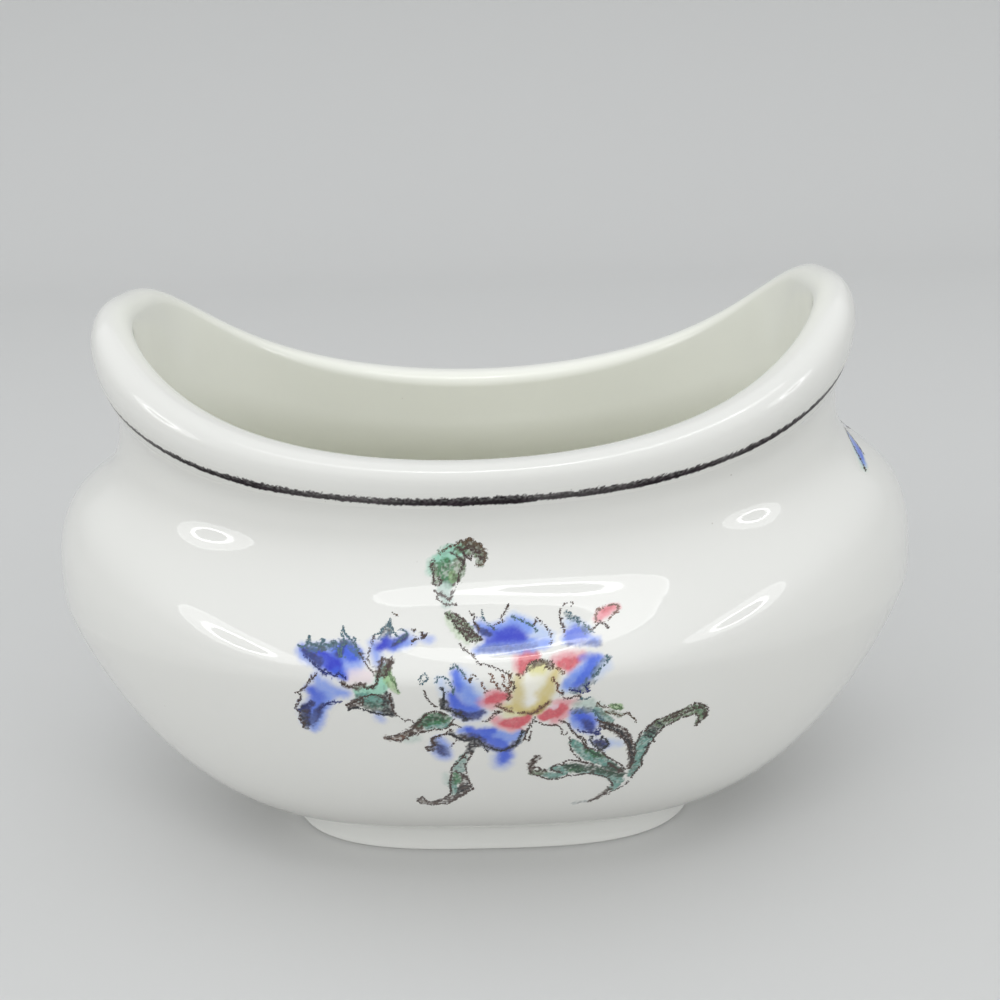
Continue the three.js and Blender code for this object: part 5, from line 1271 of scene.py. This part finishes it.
def dotted_line(material):
    """Geometry Nodes: scatters dots along the edges of a flat drawing, by the spread of each line."""
    tree = bpy.data.node_groups.new("printed_dots", "GeometryNodeTree")
    tree.is_modifier = True
    sockets = tree.interface
    sockets.new_socket("Geometry", in_out="INPUT", socket_type="NodeSocketGeometry")
    for size_name in ("Spacing", "Kept", "Least Radius", "Largest Radius"):
        sockets.new_socket(size_name, in_out="INPUT", socket_type="NodeSocketFloat")
    sockets.new_socket("Geometry", in_out="OUTPUT", socket_type="NodeSocketGeometry")
    link = tree.links.new
    given = tree.nodes.new("NodeGroupInput").outputs
    lines = tree.nodes.new("GeometryNodeMeshToCurve")
    link(given["Geometry"], lines.inputs["Mesh"])
    points = tree.nodes.new("GeometryNodeCurveToPoints")
    points.mode = "LENGTH"
    link(lines.outputs["Curve"], points.inputs["Curve"])
    link(given["Spacing"], points.inputs["Length"])
    drift = add(tree, "ShaderNodeTexNoise", Scale=drift_scale, Detail=drift_detail)
    drift.noise_dimensions = "4D"
    link(drawn_value(tree, "row"), drift.inputs["W"])
    reach = tree.nodes.new("ShaderNodeMath")
    reach.operation = "MULTIPLY"
    reach.inputs[1].default_value = drift_reach
    link(drawn_value(tree, "spread"), reach.inputs[0])
    shift = vectors(tree, "SUBTRACT", drift.outputs["Color"], (0.5, 0.5, 0.5))
    shift = vectors(tree, "SCALE", shift, reach.outputs[0])
    shake = chance(tree, "FLOAT_VECTOR", 1, Min=(-dot_shake,) * 3, Max=(dot_shake,) * 3)
    shift = vectors(tree, "ADD", shift, shake)
    moved = tree.nodes.new("GeometryNodeSetPosition")
    link(points.outputs["Points"], moved.inputs["Geometry"])
    link(vectors(tree, "MULTIPLY", shift, (1, 1, 0)), moved.inputs["Offset"])
    dot = tree.nodes.new("GeometryNodeMeshCylinder")
    dot.inputs["Vertices"].default_value = dot_sides
    dot.inputs["Radius"].default_value = 1.0
    dot.inputs["Depth"].default_value = 1.0
    size = tree.nodes.new("ShaderNodeCombineXYZ")
    for seed, axis in ((3, "X"), (4, "Y")):
        radius = chance(tree, "FLOAT", seed, Min=given["Least Radius"], Max=given["Largest Radius"])
        link(radius, size.inputs[axis])
    size.inputs["Z"].default_value = dot_height + dot_sink
    turned = tree.nodes.new("ShaderNodeCombineXYZ")
    link(chance(tree, "FLOAT", 5, Min=0.0, Max=2 * math.pi), turned.inputs["Z"])
    placed = tree.nodes.new("GeometryNodeInstanceOnPoints")
    link(moved.outputs["Geometry"], placed.inputs["Points"])
    link(chance(tree, "BOOLEAN", 2, Probability=given["Kept"]), placed.inputs["Selection"])
    link(dot.outputs["Mesh"], placed.inputs["Instance"])
    link(turned.outputs[0], placed.inputs["Rotation"])
    link(size.outputs[0], placed.inputs["Scale"])
    strength = chance(tree, "FLOAT", 6, Min=ink_least, Max=ink_most)
    tint = vectors(tree, "SCALE", drawn_value(tree, "tint", "FLOAT_VECTOR"), strength)
    inked = tree.nodes.new("GeometryNodeStoreNamedAttribute")
    inked.data_type = "FLOAT_COLOR"
    inked.domain = "INSTANCE"
    inked.inputs["Name"].default_value = "paint"
    link(placed.outputs["Instances"], inked.inputs["Geometry"])
    link(tint, inked.inputs["Value"])
    real = tree.nodes.new("GeometryNodeRealizeInstances")
    link(inked.outputs["Geometry"], real.inputs["Geometry"])
    finished = tree.nodes.new("GeometryNodeSetMaterial")
    finished.inputs["Material"].default_value = material
    link(real.outputs["Geometry"], finished.inputs["Geometry"])
    result = tree.nodes.new("NodeGroupOutput")
    link(finished.outputs["Geometry"], result.inputs["Geometry"])
    return tree


def drawing(name, outlines):
    """A flat mesh of the lines in millimetres, drawn once for each row of dots in them."""
    points, edges, spreads, rows, tints = [], [], [], [], []
    for (tint, *_), spread, path in outlines:
        for row in range(1 + (spread >= second_row) + (spread >= third_row) + (spread >= fourth_row)):
            start = len(points)
            points += [(x, up, 0) for x, up in path]
            edges += [(start + k, start + k + 1) for k in range(len(path) - 1)]
            spreads += [spread] * len(path)
            rows += [float(row)] * len(path)
            tints += [tuple(tint)] * len(path)
    mesh = bpy.data.meshes.new(name)
    mesh.from_pydata(points, edges, [])
    mesh.attributes.new("spread", "FLOAT", "POINT").data.foreach_set("value", spreads)
    mesh.attributes.new("row", "FLOAT", "POINT").data.foreach_set("value", rows)
    mesh.attributes.new("tint", "FLOAT_VECTOR", "POINT").data.foreach_set("vector", np.ravel(tints))
    return put(name, mesh)


def print_dots(name, outlines, wall):
    """Scatters the dots on a flat drawing, makes them one mesh, and lays it on the wall."""
    sheet = drawing(name + "_drawing", outlines)
    dots = sheet.modifiers.new("dots", "NODES")
    dots.node_group = ink_tree
    sizes = {
        "Spacing": dot_spacing,
        "Kept": kept_dots,
        "Least Radius": dot_least,
        "Largest Radius": dot_largest,
    }
    for socket in ink_tree.interface.items_tree:
        if socket.name in sizes:
            dots[socket.identifier] = sizes[socket.name]
    mesh = bpy.data.meshes.new_from_object(sheet.evaluated_get(bpy.context.evaluated_depsgraph_get()))
    sheet.modifiers.clear()
    bpy.data.objects.remove(sheet)
    mesh.name = name
    points = np.zeros(len(mesh.vertices) * 3)
    mesh.vertices.foreach_get("co", points)
    x, up, height = points.reshape(-1, 3).T
    lift = (height + (dot_height - dot_sink) / 2) * MM
    points = wall(x, up) + outward(wall, x, up) * lift[:, None]
    mesh.vertices.foreach_set("co", points.ravel())
    mesh.update()
    piece = put(name, mesh)
    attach(piece, "root")
    return piece


ceramic_ink = glaze("ceramic_ink", glaze_white, cloud_and_shade_grey, painted=True)
ink_tree = dotted_line(ceramic_ink)
front_print = print_dots("front_outline_print", all_outlines, side_wall)


# The flower spray on the back
# The same print and enamels again, on the other long side, as such bowls have: the front turned half
# round the bowl's middle.
half_turn = Matrix.Rotation(math.pi, 4, "Z")


def turned_copy(piece, name):
    """A copy of a piece on the other side of the bowl."""
    mesh = piece.data.copy()
    mesh.name = name
    mesh.transform(half_turn)
    return put(name, mesh)


for motif, piece in front_enamels.items():
    fire(turned_copy(piece, f"back_{motif}_enamel"), "back", motif)
back_print = turned_copy(front_print, "back_outline_print")
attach(back_print, "root")


# The touches on the right-hand end
# Two soft blue strokes and a leaf on the shoulder under the neck, in the same enamels as the sprays.
end_left, end_right, end_low, end_high = -13.5, 8.0, 7.5, 18.4
end_strokes = {
    "petal_front": [
        (aqua, 0.35, 1.2, [(-11.3, 10.3, 0.4), (-9, 11.9, 0.6), (-6.6, 13.3, 0.4)]),
        (sky, 0.85, 0.7, [(-10.8, 10.4, 0.2), (-9.4, 11.4, 0.4), (-7.6, 12.9, 0.4), (-6.4, 13.5, 0.2)]),
        (blue, 0.6, 0.5, [(-9.8, 10.8, 0.15), (-8, 11.9, 0.25), (-6.8, 12.9, 0.15)]),
    ],
    "petal_back": [
        (sky, 0.8, 0.7, [(-3, 13.5, 0.2), (-1, 12.9, 0.4), (1.4, 11.6, 0.4), (2.6, 10.7, 0.2)]),
        (blue, 0.55, 0.5, [(-1.6, 13, 0.2), (0.8, 11.7, 0.25)]),
    ],
    "leaf": [
        (aqua, 0.6, 0.8, [(-1.6, 15.8, 0.2), (1, 15.7, 0.4), (3.6, 14.7, 0.3)]),
        (sea, 0.85, 0.4, [(-1, 15.8, 0.2), (1.4, 15.4, 0.4), (3.8, 14.5, 0.3), (5, 13.9, 0.15)]),
    ],
}
end_outlines = [
    (umber, 0.08, [(-11.6, 9.8), (-10.2, 11.4), (-7.8, 13.5), (-5.8, 14.3), (-6.2, 12.7), (-8.6, 10.7)]),
    (umber, 0.08, [(-3.9, 14.3), (-1.8, 14.1), (1.4, 12.3), (3.4, 10.3), (1.4, 10.4), (-1.6, 12.3)]),
    (umber, 0.08, [(-2.4, 16.2), (0.6, 16.5), (4.2, 15.4), (6, 13.5), (3.4, 13.8), (0.2, 14.7)]),
]


def end_wall(y, up):
    """Points in metres on the right-hand end of the wall, by y and by the way up it from the belly."""
    a, b, z, rise, n = (np.interp(up, profile_run, part) for part in profile.T)
    share = (1 - np.minimum(np.abs(y) / b, nearly_end) ** n) ** (1 / n)
    return np.stack([a * share, y, z + rise * rise_share(share)], -1) * MM


end_enamels = lay_enamels("right_end", end_strokes, end_outlines, end_wall,
                          end_left, end_right, end_low, end_high)
for motif, piece in end_enamels.items():
    fire(piece, "right_end", motif)
print_dots("right_end_outline_print", end_outlines, end_wall)


# The table, the lamps and the camera
# A plain pale table that turns up into a backdrop, soft daylight from above, and three ring-shaped lamps.
# The camera stands where the photograph was taken from, close to the bowl and a little above it.
table_colour, table_roughness = (0.65, 0.65, 0.64), 0.7
table_size = 1.6
curve_start, curve_radius, curve_rows = 0.5, 0.3, 24
sweep = [(-table_size, 0.0), (curve_start, 0.0)]
for angle in steps(0, math.pi / 2, curve_rows)[1:]:
    sweep.append((curve_start + curve_radius * math.sin(angle), curve_radius * (1 - math.cos(angle))))
sweep.append((curve_start + curve_radius, table_size))
table_points = [(x, y, z) for y, z in sweep for x in (-table_size, table_size)]
table_faces = [(2 * k, 2 * k + 1, 2 * k + 3, 2 * k + 2) for k in range(len(sweep) - 1)]
table_mesh = bpy.data.meshes.new("table")
table_mesh.from_pydata(table_points, [], table_faces)
table_mesh.polygons.foreach_set("use_smooth", [True] * len(table_faces))
table = put("table", table_mesh)
paper = bpy.data.materials.new("table_paper")
paper.use_nodes = True
paper_shader = paper.node_tree.nodes["Principled BSDF"]
paper_shader.inputs["Base Color"].default_value = (*table_colour, 1)
paper_shader.inputs["Roughness"].default_value = table_roughness
table_mesh.materials.append(paper)

daylight_low, daylight_high, daylight_full = 0.42, 1.10, 0.8
daylight_colour = (0.96, 0.98, 1.0)
world = bpy.data.worlds.new("daylight")
world.use_nodes = True
sky_tree = world.node_tree
place = sky_tree.nodes.new("ShaderNodeTexCoord")
height = sky_tree.nodes.new("ShaderNodeSeparateXYZ")
sky_tree.links.new(place.outputs["Generated"], height.inputs[0])
strength = sky_tree.nodes.new("ShaderNodeMapRange")
strength.interpolation_type = "SMOOTHSTEP"
strength.inputs["From Min"].default_value = 0.0
strength.inputs["From Max"].default_value = daylight_full
strength.inputs["To Min"].default_value = daylight_low
strength.inputs["To Max"].default_value = daylight_high
sky_tree.links.new(height.outputs["Z"], strength.inputs["Value"])
sky_tree.links.new(strength.outputs["Result"], sky_tree.nodes["Background"].inputs["Strength"])
sky_tree.nodes["Background"].inputs["Color"].default_value = (*daylight_colour, 1)
bpy.context.scene.world = world

# How bright a ring lamp is from its middle (0) to its rim (1): a bright inner tube and a soft outer one
lamp_distance = 0.9
lamp_middle, lamp_tube, lamp_band, lamp_rim = 0.6, 9.0, 2.2, 4.0
tube_edge, tube_thick, tube_fall, band_end = 0.03, 0.09, 0.07, 0.93


def ring_lamp(name, aim, azimuth, elevation, wide, high, tube, turned=0):
    """A ring lamp that faces a place in millimetres, from right of the front and up, in degrees.

    Its width and height are in metres, and its bright tube starts at that share of its radius. It may
    be turned on its own axis.
    """
    light = bpy.data.lights.new(name, "AREA")
    light.shape = "ELLIPSE"
    light.size, light.size_y = wide, high
    area = math.pi / 4 * wide * high
    light.energy = math.pi * area
    light.use_nodes = True
    tree = light.node_tree
    across = tree.nodes.new("ShaderNodeNewGeometry").outputs["Parametric"]
    radius = vectors(tree, "MULTIPLY", vectors(tree, "SUBTRACT", across, (0.5, 0.5, 0)), (2, 2, 0))
    radius = vectors(tree, "LENGTH", radius)
    bright = tree.nodes.new("ShaderNodeValToRGB")
    stops = bright.color_ramp.elements
    tube_end = tube + tube_thick
    rings = ((0.0, lamp_middle), (tube - tube_edge, lamp_middle), (tube, lamp_tube), (tube_end, lamp_tube),
             (tube_end + tube_fall, lamp_band), (band_end, lamp_band), (1.0, lamp_rim))
    while len(stops) < len(rings):
        stops.new(0.5)
    for stop, (where, level) in zip(stops, rings):
        stop.position = where
        stop.color = (level / lamp_tube,) * 3 + (1,)
    tree.links.new(radius, bright.inputs["Fac"])
    emission = tree.nodes["Emission"]
    emission.inputs["Strength"].default_value = lamp_tube
    tree.links.new(bright.outputs["Color"], emission.inputs["Color"])
    holder = put(name, light)
    turn, tilt = math.radians(azimuth), math.radians(elevation)
    away = Vector((math.sin(turn) * math.cos(tilt), -math.cos(turn) * math.cos(tilt), math.sin(tilt)))
    facing = away.to_track_quat("Z", "Y").to_matrix().to_4x4()
    facing = facing @ Matrix.Rotation(math.radians(turned), 4, "Z")
    holder.matrix_world = Matrix.Translation(Vector(aim) * MM + away * lamp_distance) @ facing


ring_lamp("main_ring_lamp", (6, -31, 40), azimuth=5.5, elevation=66, wide=0.40, high=0.16, tube=0.37,
          turned=-14)
ring_lamp("left_ring_lamp", (-31, -22, 48), azimuth=-45, elevation=27, wide=0.36, high=0.36, tube=0.44)
ring_lamp("right_ring_lamp", (33, -22, 48), azimuth=44, elevation=29, wide=0.30, high=0.30, tube=0.44)

view_pitch, view_yaw, view_roll = math.radians(19.92), math.radians(-1.41), math.radians(2.30)
view_distance = 150.0
view_right, view_up = -2.53, -7.86
focal_pixels, image_pixels, sensor_width = 1070.0, 1000, 36.0
ahead = Vector((0, math.cos(view_pitch), -math.sin(view_pitch)))
upward = Vector((0, math.sin(view_pitch), math.cos(view_pitch)))
right = Vector((1, 0, 0))
middle = Vector((0, 0, belly_height))
eye = middle - ahead * view_distance - right * view_right - upward * view_up
right, upward = (right * math.cos(view_roll) - upward * math.sin(view_roll),
                 right * math.sin(view_roll) + upward * math.cos(view_roll))
stand = Matrix((right, upward, -ahead)).transposed().to_4x4()
stand.translation = eye * MM
lens = bpy.data.cameras.new("camera")
lens.sensor_width = sensor_width
lens.lens = sensor_width * focal_pixels / image_pixels
camera = put("camera", lens)
camera.matrix_world = Matrix.Rotation(-view_yaw, 4, "Z") @ stand
bpy.context.scene.camera = camera
bpy.context.scene.view_settings.view_transform = "Standard"
